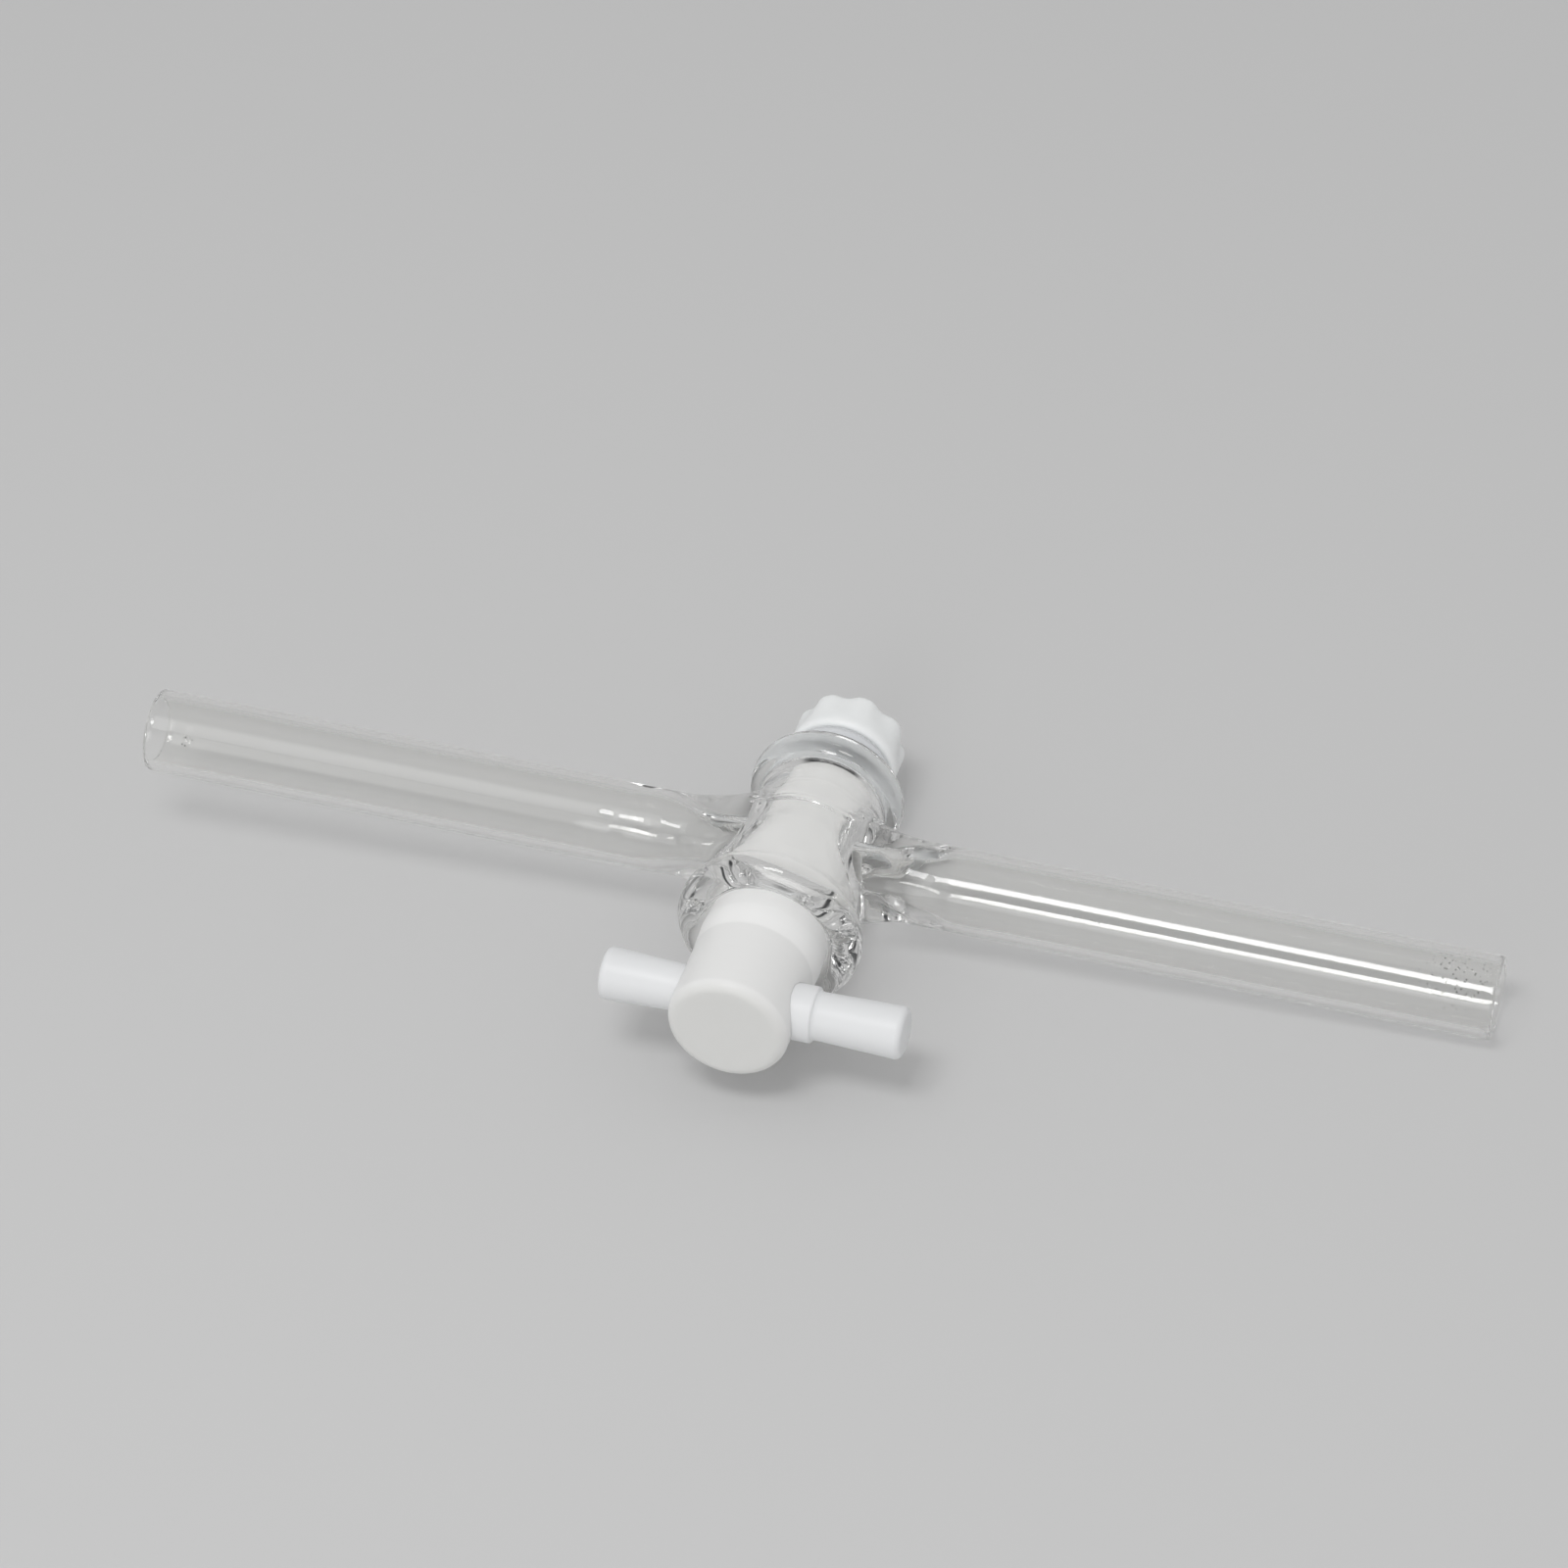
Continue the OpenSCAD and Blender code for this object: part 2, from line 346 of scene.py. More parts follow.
def shift(piece: bpy.types.Object, along: float) -> None:
    """Moves all points of a piece along the key, by a distance in mm.

    Args:
        piece: the piece.
        along: the distance.
    """
    with editing(piece):
        bpy.ops.mesh.select_all(action="SELECT")
        bpy.ops.transform.translate(value=(0, along * MM, 0))


def weigh(piece: bpy.types.Object, weight: Callable[[Vector], float]) -> str:
    """Marks how much of the next modifier each point takes.

    Args:
        piece: the piece to mark.
        weight: gives a share from 0 to 1 for a point in mm.

    Returns:
        The name of the mark.
    """
    group = piece.vertex_groups.new(name="Share")
    for point in piece.data.vertices:
        share = weight(point.co / MM)
        if share > 0:
            group.add([point.index], share, "REPLACE")
    return group.name


def settle(
    piece: bpy.types.Object, form: bpy.types.Object, weight: Callable[[Vector], float]
) -> None:
    """Draws a surface onto a true form, and clears the form away.

    Args:
        piece: the piece to true up.
        form: the form.
        weight: how much of it a point takes, from 0 to 1.
    """
    wrap = piece.modifiers.new("Settle", "SHRINKWRAP")
    wrap.target, wrap.wrap_method = form, "NEAREST_SURFACEPOINT"
    wrap.vertex_group = weigh(piece, weight)
    apply(piece)
    piece.vertex_groups.clear()
    bpy.data.objects.remove(form)


def swell(
    piece: bpy.types.Object, height: float, weight: Callable[[Vector], float], grain: float = 0.0
) -> None:
    """Raises a surface, evenly or in soft ripples as flame-worked glass has.

    Args:
        piece: the piece to work.
        height: the full height, in mm, half of it inwards for ripples.
        weight: how much of it a point takes, from 0 to 1.
        grain: the size of a ripple in mm, or 0 for an even rise.
    """
    move = piece.modifiers.new("Swell", "DISPLACE")
    move.strength, move.mid_level, move.vertex_group = height * MM, 0.0, weigh(piece, weight)
    if grain:
        noise = bpy.data.textures.new(f"{piece.name}_ripple", "CLOUDS")
        noise.noise_scale, noise.noise_depth, noise.noise_basis = grain * MM, 0, "ORIGINAL_PERLIN"
        move.texture, move.texture_coords, move.mid_level = noise, "LOCAL", 0.5
    apply(piece)
    piece.vertex_groups.clear()


def shade(piece: bpy.types.Object, angle: float) -> None:
    """Shades a piece smooth, with edges sharper than an angle in degrees left crisp.

    Args:
        piece: the piece.
        angle: the angle.
    """
    take(piece)
    bpy.ops.object.shade_smooth_by_angle(angle=math.radians(angle))
    even = piece.modifiers.new("Even", "WEIGHTED_NORMAL")
    even.mode, even.keep_sharp, even.weight = "FACE_AREA_WITH_ANGLE", True, 50
    apply(piece)


def arc(
    middle: tuple[float, float], radius: float, start: float, end: float, parts: int
) -> list[tuple[float, float]]:
    """Points on a round.

    Args:
        middle: its centre, as (radius, place along).
        radius: its radius.
        start: first angle in degrees, from the outward direction towards +along.
        end: last angle.
        parts: how many chords.

    Returns:
        The points, both ends included.
    """
    angles = (math.radians(start + (end - start) * i / parts) for i in range(parts + 1))
    return [(middle[0] + radius * math.cos(a), middle[1] + radius * math.sin(a)) for a in angles]


def cage_through(
    points: Outline, facets: int, creased: Sequence[float] = ()
) -> list[tuple[float, float]]:
    """Finds the corner points whose smoothed surface passes through an outline.

    A subdivided skin lies inside its cage, and passes a corner at a sixth of each neighbour and
    two thirds of the corner itself. So each corner is pushed out in rounds until the skin meets
    the outline, both along it and round the axis.

    Args:
        points: (radius, place) pairs on the outline.
        facets: the facets of the cage round its axis.
        creased: the places of the rings that stay crisp, where the skin meets the cage.

    Returns:
        The cage's corners.
    """
    cage = [Vector(p) for p in points]
    goal = [Vector(p) for p in points]
    soft = [i for i in range(1, len(cage) - 1) if points[i][1] not in creased]
    for _ in range(PUSH_ROUNDS):
        for i in soft:
            cage[i] += goal[i] - (cage[i - 1] + 4 * cage[i] + cage[i + 1]) / 6
    out = 3 / (2 + math.cos(FULL_TURN / facets))
    return [(p.x * out, p.y) for p in cage]


def fade(value: float, full: float, none: float) -> float:
    """A soft step, read at a value: 1 at full, 0 at none, and even between."""
    t = min(max((value - none) / (full - none), 0.0), 1.0)
    return t * t * (3 - 2 * t)


# ---------------------------------------------------------------- finishes


def linear(hex_code: str) -> tuple[float, float, float, float]:
    """Turns an sRGB hex colour to linear.

    Args:
        hex_code: six hex digits.

    Returns:
        Linear red, green, blue and 1.
    """
    parts = (int(hex_code[i : i + 2], 16) / 255 for i in (0, 2, 4))
    red, green, blue = (c / 12.92 if c <= 0.04045 else ((c + 0.055) / 1.055) ** 2.4 for c in parts)
    return red, green, blue, 1.0


def add_node(
    tree: bpy.types.NodeTree, kind: str, inputs: Mapping[str | int, object] | None = None,
    **settings: object,
) -> bpy.types.Node:
    """Adds a shader node with its settings, values and links.

    Args:
        tree: the node tree.
        kind: the node's type, without the word ShaderNode.
        inputs: for each input, by name or number, a value, the output that feeds it, or a node
            whose first output in use feeds it.
        **settings: the node's own properties.

    Returns:
        The new node.
    """
    node = tree.nodes.new(f"ShaderNode{kind}")
    for name, value in settings.items():
        setattr(node, name, value)
    for key, value in (inputs or {}).items():
        if isinstance(value, bpy.types.Node):
            value = next(output for output in value.outputs if output.enabled)
        if isinstance(value, bpy.types.NodeSocket):
            tree.links.new(value, node.inputs[key])
        else:
            node.inputs[key].default_value = value
    return node


def per_metre(size_mm: float) -> float:
    """The noise scale that gives features of a size in mm."""
    return 1 / (size_mm * MM)


@dataclass(frozen=True)
class Finish:
    """A real material, as the process that made the piece leaves it."""

    name: str

    def surface(self, add: Adder, place: bpy.types.NodeSocket) -> bpy.types.Node:
        """Adds the shaders and gives the one that the piece shows."""
        raise NotImplementedError

    def material(self) -> bpy.types.Material:
        """Builds the material.

        Returns:
            A new material that has only this surface.
        """
        material = bpy.data.materials.new(self.name)
        material.use_nodes = True
        material.node_tree.nodes.clear()
        add = partial(add_node, material.node_tree)
        add("OutputMaterial", {"Surface": self.surface(add, add("TexCoord").outputs["Object"])})
        return material


@dataclass(frozen=True)
class MilkySolid(Finish):
    """A solid that some of the light enters a little way: how much of it, and how deep."""

    ior: float
    milkiness: float
    depth_mm: float

    def inside(self) -> dict[str, object]:
        """Says what light does inside.

        Returns:
            The skin's inputs for it, by name.
        """
        return {
            "IOR": self.ior, "Subsurface Weight": self.milkiness,
            "Subsurface Radius": (1.0, 1.0, 1.0), "Subsurface Scale": self.depth_mm * MM,
        }


@dataclass(frozen=True)
class BorosilicateGlass(Finish):
    """Flame-worked borosilicate tube: clear, bright, with the faint waves of drawing and working.

    Its skin is fire-polished, so it is glossy throughout, with only a few handling smears.
    """

    name: str = "borosilicate_glass_flame_worked"
    tint: str = "FEFEFD"
    ior: float = 1.474
    # What one wall of an arm lets through towards a lamp: most face on, and little edge on.
    # Between these reaches the shadow fades out, because the barrel's key blocks the light itself
    lamp_pass: str = "F9F9F9"
    lamp_pass_edge: str = "36383A"
    edge_blend: float = 0.3
    shadow_reach_mm: tuple[float, float] = (9.5, 13.0)
    wave_mm: float = 8.0
    wave_height_mm: float = 0.005
    smear_mm: float = 9.0
    smear_roughness: float = 0.03
    # Small chips and ripples on both mouths: how far from the middle of the arms they begin,
    # and how far out they have their full height
    chip_mm: float = 0.9
    chip_height_mm: float = 0.09
    arms_middle_mm: float = 1.4
    mouth_mm: tuple[float, float] = (81.9, 82.4)
    # Specks of dust and dried drops, in patches that each have a middle and a radius in mm.
    # A speck's edge and core are shares of the spacing
    speck: str = "9C9C99"
    speck_spacing_mm: float = 0.65
    speck_edge: float = 0.24
    speck_core: float = 0.14
    dusty: tuple[tuple[Point, float], ...] = (
        ((79.2, -1.8, 4.6), 5.0), ((37.0, -3.6, 3.4), 1.0), ((-76.0, -4.1, 2.9), 1.3),
        ((-70.3, -3.6, -3.4), 1.2), ((-62.8, -3.6, -3.4), 1.8),
    )

    def specks(self, add: Adder, place: bpy.types.NodeSocket) -> bpy.types.Node:
        """How much a point is covered by a speck of dust.

        Args:
            add: adds a node to the material.
            place: gives the place on the piece, in metres.

        Returns:
            A node that gives 1 on a speck inside a patch, and 0 between specks and off patches.
        """
        grains = add("TexVoronoi", {"Vector": place, "Scale": per_metre(self.speck_spacing_mm)})
        cover = add(
            "MapRange", {"Value": grains, "From Min": self.speck_edge, "From Max": self.speck_core},
        )
        patches: bpy.types.Node | float = 0.0
        for middle, radius in self.dusty:
            off = add("VectorMath", {0: place, 1: Vector(middle) * MM}, operation="DISTANCE")
            near = add(
                "MapRange", {"Value": off, "From Min": radius * MM, "From Max": radius * MM / 2},
            )
            patches = add("Math", {0: patches, 1: near}, operation="MAXIMUM")
        return add("Math", {0: cover, 1: patches}, operation="MULTIPLY")

    def relief(self, add: Adder, place: bpy.types.NodeSocket) -> bpy.types.Node:
        """The faint waves of the whole skin, with the chips of both mouths on them.

        Args:
            add: adds a node to the material.
            place: gives the place on the piece, in metres.

        Returns:
            The bump node.
        """
        waves = add(
            "TexNoise",
            {"Vector": place, "Scale": per_metre(self.wave_mm), "Detail": 1.0, "Roughness": 0.4},
        )
        chips = add("TexNoise", {"Vector": place, "Scale": per_metre(self.chip_mm)})
        reach = add("SeparateXYZ", {0: place}).outputs["X"]
        off = add("Math", {0: reach, 1: self.arms_middle_mm * MM}, operation="SUBTRACT")
        far = add("Math", {0: off}, operation="ABSOLUTE")
        start, full = self.mouth_mm
        chipped = add(
            "MapRange",
            {"Value": far, "From Min": start * MM, "From Max": full * MM,
             "To Max": self.chip_height_mm / self.wave_height_mm},
        )
        height = add("Math", {0: chips, 1: chipped, 2: waves}, operation="MULTIPLY_ADD")
        return add("Bump", {"Height": height, "Distance": self.wave_height_mm * MM})

    def towards_lamps(self, add: Adder, place: bpy.types.NodeSocket) -> bpy.types.Node:
        """What the glass is for light on its way to a lamp.

        Args:
            add: adds a node to the material.
            place: gives the place on the piece, in metres.

        Returns:
            A transparent shader, darker towards the edges of the arms.
        """
        slant = add("LayerWeight", {"Blend": self.edge_blend}).outputs["Facing"]
        shadow = add(
            "Mix", {0: slant, 6: linear(self.lamp_pass), 7: linear(self.lamp_pass_edge)},
            data_type="RGBA",
        )
        reach = add("SeparateXYZ", {0: place}).outputs["X"]
        either_side = add("Math", {0: reach}, operation="ABSOLUTE")
        start, full = self.shadow_reach_mm
        on_arms = add(
            "MapRange", {"Value": either_side, "From Min": start * MM, "From Max": full * MM},
        )
        passed = add("Mix", {0: on_arms, 6: linear("FFFFFF"), 7: shadow}, data_type="RGBA")
        return add("BsdfTransparent", {"Color": passed})

    def surface(self, add: Adder, place: bpy.types.NodeSocket) -> bpy.types.Node:
        """Clear glass for sight, with a soft shadow and a plain pass for diffused light.

        Args:
            add: adds a node to the material.
            place: gives the place on the piece, in metres.

        Returns:
            The glass, with what it is for lamps and for diffused light mixed in.
        """
        smears = add(
            "TexNoise",
            {"Vector": place, "Scale": per_metre(self.smear_mm), "Detail": 5.0, "Roughness": 0.65},
        )
        rough = add(
            "MapRange",
            {"Value": smears, "From Min": 0.55, "From Max": 0.8, "To Max": self.smear_roughness},
        )
        tint = add(
            "Mix", {0: self.specks(add, place), 6: linear(self.tint), 7: linear(self.speck)},
            data_type="RGBA",
        )
        glass = add(
            "BsdfPrincipled",
            {"Base Color": tint, "Transmission Weight": 1.0, "IOR": self.ior,
             "Roughness": rough, "Normal": self.relief(add, place)},
        )
        path = add("LightPath")
        lamps = add(
            "MixShader",
            {0: path.outputs["Is Shadow Ray"], 1: glass, 2: self.towards_lamps(add, place)},
        )
        clear = add("BsdfTransparent")
        return add("MixShader", {0: path.outputs["Is Diffuse Ray"], 1: lamps, 2: clear})


@dataclass(frozen=True)
class TurnedPtfe(MilkySolid):
    """PTFE rod turned on a lathe: dense waxy white, light enters a little way, fine tool rings."""

    name: str = "ptfe_turned"
    colour: str = "F1F1F0"
    shade: str = "E9E9E8"
    roughness: float = 0.36
    ior: float = 1.35
    # A finishing cut leaves rings about 0.08 mm apart; drawn at 0.3 mm so that they show
    ring_mm: float = 0.3
    ring_height_mm: float = 0.002
    cloud_mm: float = 7.0
    milkiness: float = 0.35
    depth_mm: float = 0.9
    # Painted light and shade in bands along the key: the lead-in is painted whitest as a painted
    # highlight, the turned head is painted duller and its sawn face duller still as painted shade:
    # where each band starts along the key, how softly, and its colour
    painted_light_bands: tuple[tuple[float, float, str], ...] = (
        (-16.2, 4.0, "F5F5F4"), (-19.65, 0.3, "EBEBEA"), (-30.1, 0.9, "E1E1DF"),
    )

    def surface(self, add: Adder, place: bpy.types.NodeSocket) -> bpy.types.Node:
        """Waxy white, with rings round the key's axis and bands of painted light and shade along
        it.

        Args:
            add: adds a node to the material.
            place: gives the place on the piece, in metres.

        Returns:
            The waxy skin.
        """
        # A wave texture at scale 1 already has 20 bands
        rings = add(
            "TexWave",
            {"Vector": place, "Scale": per_metre(self.ring_mm) / 20, "Distortion": 0.6,
             "Detail": 2.0, "Detail Scale": 1.5},
            wave_type="BANDS", bands_direction="Y",
        )
        bump = add("Bump", {"Height": rings.outputs["Fac"], "Distance": self.ring_height_mm * MM})
        clouds = add(
            "TexNoise", {"Vector": place, "Scale": per_metre(self.cloud_mm), "Detail": 4.0},
        )
        colour = add(
            "Mix", {0: clouds, 6: linear(self.colour), 7: linear(self.shade)}, data_type="RGBA",
        )
        # Bands of painted light and shade along the key: a painted highlight on the lead-in,
        # painted shade on the head and its sawn face
        along = add("SeparateXYZ", {0: place}).outputs["Y"]
        for start, soft, painted_tone in self.painted_light_bands:
            behind = add(
                "MapRange",
                {"Value": along, "From Min": (start - soft / 2) * MM,
                 "From Max": (start + soft / 2) * MM},
            )
            colour = add("Mix", {0: behind, 6: linear(painted_tone), 7: colour}, data_type="RGBA")
        rough = add(
            "MapRange",
            {"Value": clouds, "From Min": 0.3, "From Max": 0.7,
             "To Min": self.roughness - 0.04, "To Max": self.roughness + 0.05},
        )
        return add(
            "BsdfPrincipled",
            {"Base Color": colour, "Roughness": rough, "Normal": bump, **self.inside()},
        )


@dataclass(frozen=True)
class MouldedPlastic(MilkySolid):
    """Injection-moulded polypropylene: even satin white, with the mould's faint orange peel."""

    name: str = "polypropylene_cool_white_moulded"
    colour: str = "F1F3F3"
    roughness: float = 0.4
    ior: float = 1.49
    peel_mm: float = 0.9
    peel_height_mm: float = 0.003
    rubbed_mm: float = 5.4
    milkiness: float = 0.25
    depth_mm: float = 0.6

    def surface(self, add: Adder, place: bpy.types.NodeSocket) -> bpy.types.Node:
        """Satin plastic with a soft skin texture.

        Args:
            add: adds a node to the material.
            place: gives the place on the piece, in metres.

        Returns:
            The satin skin.
        """
        peel = add("TexNoise", {"Vector": place, "Scale": per_metre(self.peel_mm), "Detail": 3.0})
        bump = add("Bump", {"Height": peel, "Distance": self.peel_height_mm * MM})
        rubbed = add(
            "TexNoise",
            {"Vector": place, "Scale": per_metre(self.rubbed_mm), "Detail": 5.0, "Roughness": 0.6},
        )
        rough = add(
            "MapRange",
            {"Value": rubbed, "From Min": 0.3, "From Max": 0.7,
             "To Min": self.roughness - 0.05, "To Max": self.roughness + 0.06},
        )
        return add(
            "BsdfPrincipled",
            {"Base Color": linear(self.colour), "Roughness": rough, "Normal": bump,
             **self.inside()},
        )


@dataclass(frozen=True)
class SiliconeRubber(MilkySolid):
    """Moulded silicone rubber: cloudy grey-white, soft sheen, a little dust in its skin."""

    name: str = "silicone_rubber_moulded"
    colour: str = "DBDDDF"
    dusty: str = "CBCDD0"
    roughness: float = 0.55
    ior: float = 1.41
    dust_mm: float = 0.5
    dust_height_mm: float = 0.004
    milkiness: float = 0.4
    depth_mm: float = 1.2

    def surface(self, add: Adder, place: bpy.types.NodeSocket) -> bpy.types.Node:
        """Matt rubber with fine dust.

        Args:
            add: adds a node to the material.
            place: gives the place on the piece, in metres.

        Returns:
            The dusty skin.
        """
        dust = add(
            "TexNoise",
            {"Vector": place, "Scale": per_metre(self.dust_mm), "Detail": 4.0, "Roughness": 0.7},
        )
        colour = add(
            "Mix", {0: dust, 6: linear(self.colour), 7: linear(self.dusty)}, data_type="RGBA",
        )
        bump = add("Bump", {"Height": dust, "Distance": self.dust_height_mm * MM})
        return add(
            "BsdfPrincipled",
            {"Base Color": colour, "Roughness": self.roughness, "Normal": bump, **self.inside()},
        )


def seen_by_eye(add: Adder) -> bpy.types.Node:
    """A share that is 1 for what the camera sees, straight or by way of gloss and glass.

    Args:
        add: adds a node to the material or the world.

    Returns:
        The share's node.
    """
    path = add("LightPath")
    gloss = add(
        "Math", {0: path.outputs["Is Glossy Ray"], 1: path.outputs["Is Transmission Ray"]},
        operation="MAXIMUM",
    )
    return add("Math", {0: path.outputs["Is Camera Ray"], 1: gloss}, operation="MAXIMUM")


@dataclass(frozen=True)
class FloorPaper(Finish):
    """Matt paper that is lit in the middle, and that the eye sees as the backdrop far out."""

    backdrop: str
    colour: str = "CBCBCB"
    lit_r: float = 220.0
    blend_r: float = 500.0

    def surface(self, add: Adder, place: bpy.types.NodeSocket) -> bpy.types.Node:
        """Paper from above that blends into the backdrop, and nothing from below.

        Args:
            add: adds a node to the material.
            place: gives the place on the piece, in metres.

        Returns:
            The paper, which is clear from below.
        """
        middle = add("VectorMath", {0: place}, operation="LENGTH")
        far = add(
            "MapRange",
            {"Value": middle, "From Min": self.lit_r * MM, "From Max": self.blend_r * MM},
            interpolation_type="SMOOTHSTEP",
        )
        share = add("Math", {0: seen_by_eye(add), 1: far}, operation="MULTIPLY")
        paper = add("BsdfDiffuse", {"Color": linear(self.colour)})
        glow = add("Emission", {"Color": linear(self.backdrop), "Strength": 1.0})
        top = add("MixShader", {0: share, 1: paper, 2: glow})
        below = add("BsdfTransparent")
        side = add("NewGeometry").outputs["Backfacing"]
        return add("MixShader", {0: side, 1: top, 2: below})


# ---------------------------------------------------------------- the pieces


@dataclass
class Piece:
    """A piece of the stopcock: the CAD node it stands for, what it rides on, and its finish."""

    name: str
    body: str
    node: str
    slot: str
    finish: Finish
    mesh: bpy.types.Object | None = None

    def dress(self) -> None:
        """Gives the piece its finish, its body and the node that it replaces."""
        piece = self.mesh
        piece.name = piece.data.name = self.name
        piece.data.materials.clear()
        piece.data.materials.append(self.finish.material())
        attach(piece, self.body)
        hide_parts(self.node)
        piece.data.calc_loop_triangles()
        log.info("%s: %d triangles on %s", self.name, len(piece.data.loop_triangles), self.body)


@dataclass
class GlassBody(Piece):
    """The flame-worked glass: barrel with its bell and bead, and both tube arms, in one skin."""

    name: str = "glass_body_worked"
    body: str = "glass"
    node: str = "glass_body"
    slot: str = "glass"
    finish: Finish = BorosilicateGlass()
    # The ground end that the washer is pressed on: from this place along the key, within this
    # radius. Light goes on into the PTFE there, so its refraction is the step between the two,
    # 1.474 / 1.35
    seat_finish: Finish = BorosilicateGlass("borosilicate_glass_ground_seat", ior=1.09)
    seat: tuple[float, float] = (13.57, 6.45)
    # The arms, right and left: the side and how far each reaches from the key's axis. Then their
    # radii outside and inside, the port's radius, where the funnel between port and tube starts
    # and ends, and how soft its ends are
    arms: tuple[tuple[int, float], ...] = ((1, 84.1), (-1, 81.3))
    arm_r: float = 5.0
    tube_r: float = 3.9
    port_r: float = 2.2
    funnel: tuple[float, float] = (9.0, 19.5)
    funnel_rows: int = 24
    funnel_soft: float = 0.22
    hollow_facets: int = 112
    # Soft ripples in the hollow: their size and height, and where along the arm they are in full
    # and have ended, towards the barrel and towards the mouth
    hollow_ripple_mm: float = 5.5
    hollow_ripple_height: float = 0.28
    hollow_rippled: tuple[tuple[float, float], ...] = ((14.0, 10.5), (19.0, 27.0))
    # Within this reach an arm flares towards its weld, on a round of this radius
    weld_reach: float = 15.5
    weld_flare: float = 21.0
    # The melted round on a mouth's rim, and how far behind the mouth its row of points is
    rim_round: float = 0.3
    rim_row: float = 0.5
    # The barrel from front to rear, as (radius, place along the key) points. The bell and the bead
    # are rounds, each given by its middle and radius
    face: Outline = (
        (0.0, -12.4), (3.4, -12.4), (6.3, -12.6), (7.12, -13.1), (7.34, -13.75), (7.72, -14.33),
    )
    bell: tuple[float, float, float] = (8.9, -12.5, 2.3)
    flare: Outline = (
        (9.87, -10.1), (9.5, -9.3), (9.25, -8.5), (9.08, -7.7), (8.99, -7.1), (8.7, -4.6),
        (8.63, -2.2), (8.6, -0.4), (8.54, 0.8), (8.5, 1.3),
    )
    waist: Outline = (
        (7.957, 2.4), (7.88, 3.0), (7.79, 4.6), (7.72, 7.1), (7.7, 8.2), (7.77, 8.75),
        (8.02, 9.12), (8.72, 9.4), (9.1, 9.95), (9.32, 10.8),
    )
    bead: tuple[float, float, float] = (7.6, 11.8, 1.8)
    # Places of the rings that the glass worker left crisp, and how crisp
    crisp: tuple[float, ...] = (1.3, 2.4, 9.4)
    step_crease: float = 0.62
    # The ground bore: its radius at the arms' axis, its wide end and narrow end, and the melted
    # mouth that it opens into
    bore_mid_r: float = 6.32
    bore_reach: tuple[float, float] = (-16.5, 12.9)
    bore_rows: int = 16
    rear_mouth: Outline = (
        (5.44, 13.2), (5.56, 13.42), (5.76, 13.58), (6.1, 13.72), (6.4, 14.5), (0.0, 14.5),
    )
    barrel_facets: int = 24
    # The cage's faces that open for an arm: half their reach along the key, half their turn in
    # degrees, and how far off the key's axis they are at least. Their rim has this many edges
    hole_half: float = 6.9
    hole_turn: float = 52.5
    hole_off: float = 7.0
    hole_edges: int = 32
    # The welds: their radius on the barrel's skin, and the reach that both of their rims are within
    weld_r: float = 7.0
    weld_end: float = 12.0
    # How far off its weld the barrel is truly round, and where it no longer is
    true_off: tuple[float, float] = (1.2, 0.2)
    skin_level: int = 3
    # What the flame worked: in full and not at all, along an arm on both sides of its weld, and
    # off the arm's axis; and the ripples there
    worked_reach: tuple[tuple[float, float], ...] = ((9.5, 6.5), (13.0, 25.0))
    worked_off: tuple[float, float] = (7.0, 8.5)
    ripple_mm: float = 4.2
    ripple_height: float = 0.42
    # Small crinkles where the welds were melted together
    crinkle_mm: float = 1.5
    crinkle_height: float = 0.07
    # Fine ridges left at the step to the neck: place along the key, height and half width
    ridges: tuple[tuple[float, float, float], ...] = ((1.2, 0.19, 0.17), (2.55, 0.13, 0.17))
    # How far off the key's axis they are in full and have ended, which keeps them off the arms
    ridged: tuple[float, float] = (8.8, 9.3)
    # A bubble shut in the bell: its middle, and its half axes
    bubble: tuple[Point, Point] = ((-8.4, -13.45, 3.2), (0.45, 0.62, 0.5))

    def bore_r(self, along: float) -> float:
        """Radius of the ground 1 in 7 bore at a place along the key."""
        return self.bore_mid_r - along / TAPER_RUN

    def arm_flare_r(self, reach: float) -> float:
        """Radius of an arm, flared towards its weld, at a distance from the key's axis."""
        run = max(self.weld_reach - reach, 0.0)
        return self.arm_r + self.weld_flare - math.sqrt(self.weld_flare**2 - run**2)

    def barrel_outline(self) -> list[tuple[float, float]]:
        """Outline of the barrel's outside, from the bell's mouth to the rear face.

        Returns:
            (radius, place) pairs in mm, both ends on the axis.
        """
        bell_r, bell_at, bell_round = self.bell
        bead_r, bead_at, bead_round = self.bead
        return [
            *self.face, *arc((bell_r, bell_at), bell_round, -105, 48.75, 6),
            *self.flare, *self.waist, *arc((bead_r, bead_at), bead_round, 0, 90, 3),
            *((r, bead_at + bead_round) for r in (6.3, 3.4, 0.0)),
        ]

    def barrel_corners(self) -> list[tuple[float, float]]:
        """Corners of the barrel's cage."""
        return cage_through(self.barrel_outline(), self.barrel_facets, self.crisp)

    def whole_cage(self) -> bpy.types.Object:
        """The barrel's cage without its side holes, with the crisp rings marked.

        Returns:
            The closed cage.
        """
        half = FULL_TURN / self.barrel_facets / 2
        cage = turned("barrel_cage", self.barrel_corners(), Axis.KEY, self.barrel_facets, half)
        with editing(cage, Pick.EDGES):
            pick_where(
                cage, Pick.EDGES, lambda c: any(abs(c.y / MM - y) < NEAR_MM for y in self.crisp)
            )
            bpy.ops.transform.edge_crease(value=self.step_crease)
        return cage

    def barrel_cage(self) -> bpy.types.Object:
        """The barrel's cage, open where the arms leave it.

        Returns:
            The cage, with a round hole on each side.
        """
        cage = self.whole_cage()
        turn = math.radians(self.hole_turn)
        with editing(cage, Pick.FACES):
            pick_where(
                cage, Pick.FACES, lambda c: abs(c.y) < self.hole_half * MM
                and abs(math.atan2(c.z, abs(c.x))) < turn
                and math.hypot(c.x, c.z) > self.hole_off * MM,
            )
            bpy.ops.mesh.delete(type="FACE")
        self.round_holes(cage)
        return cage

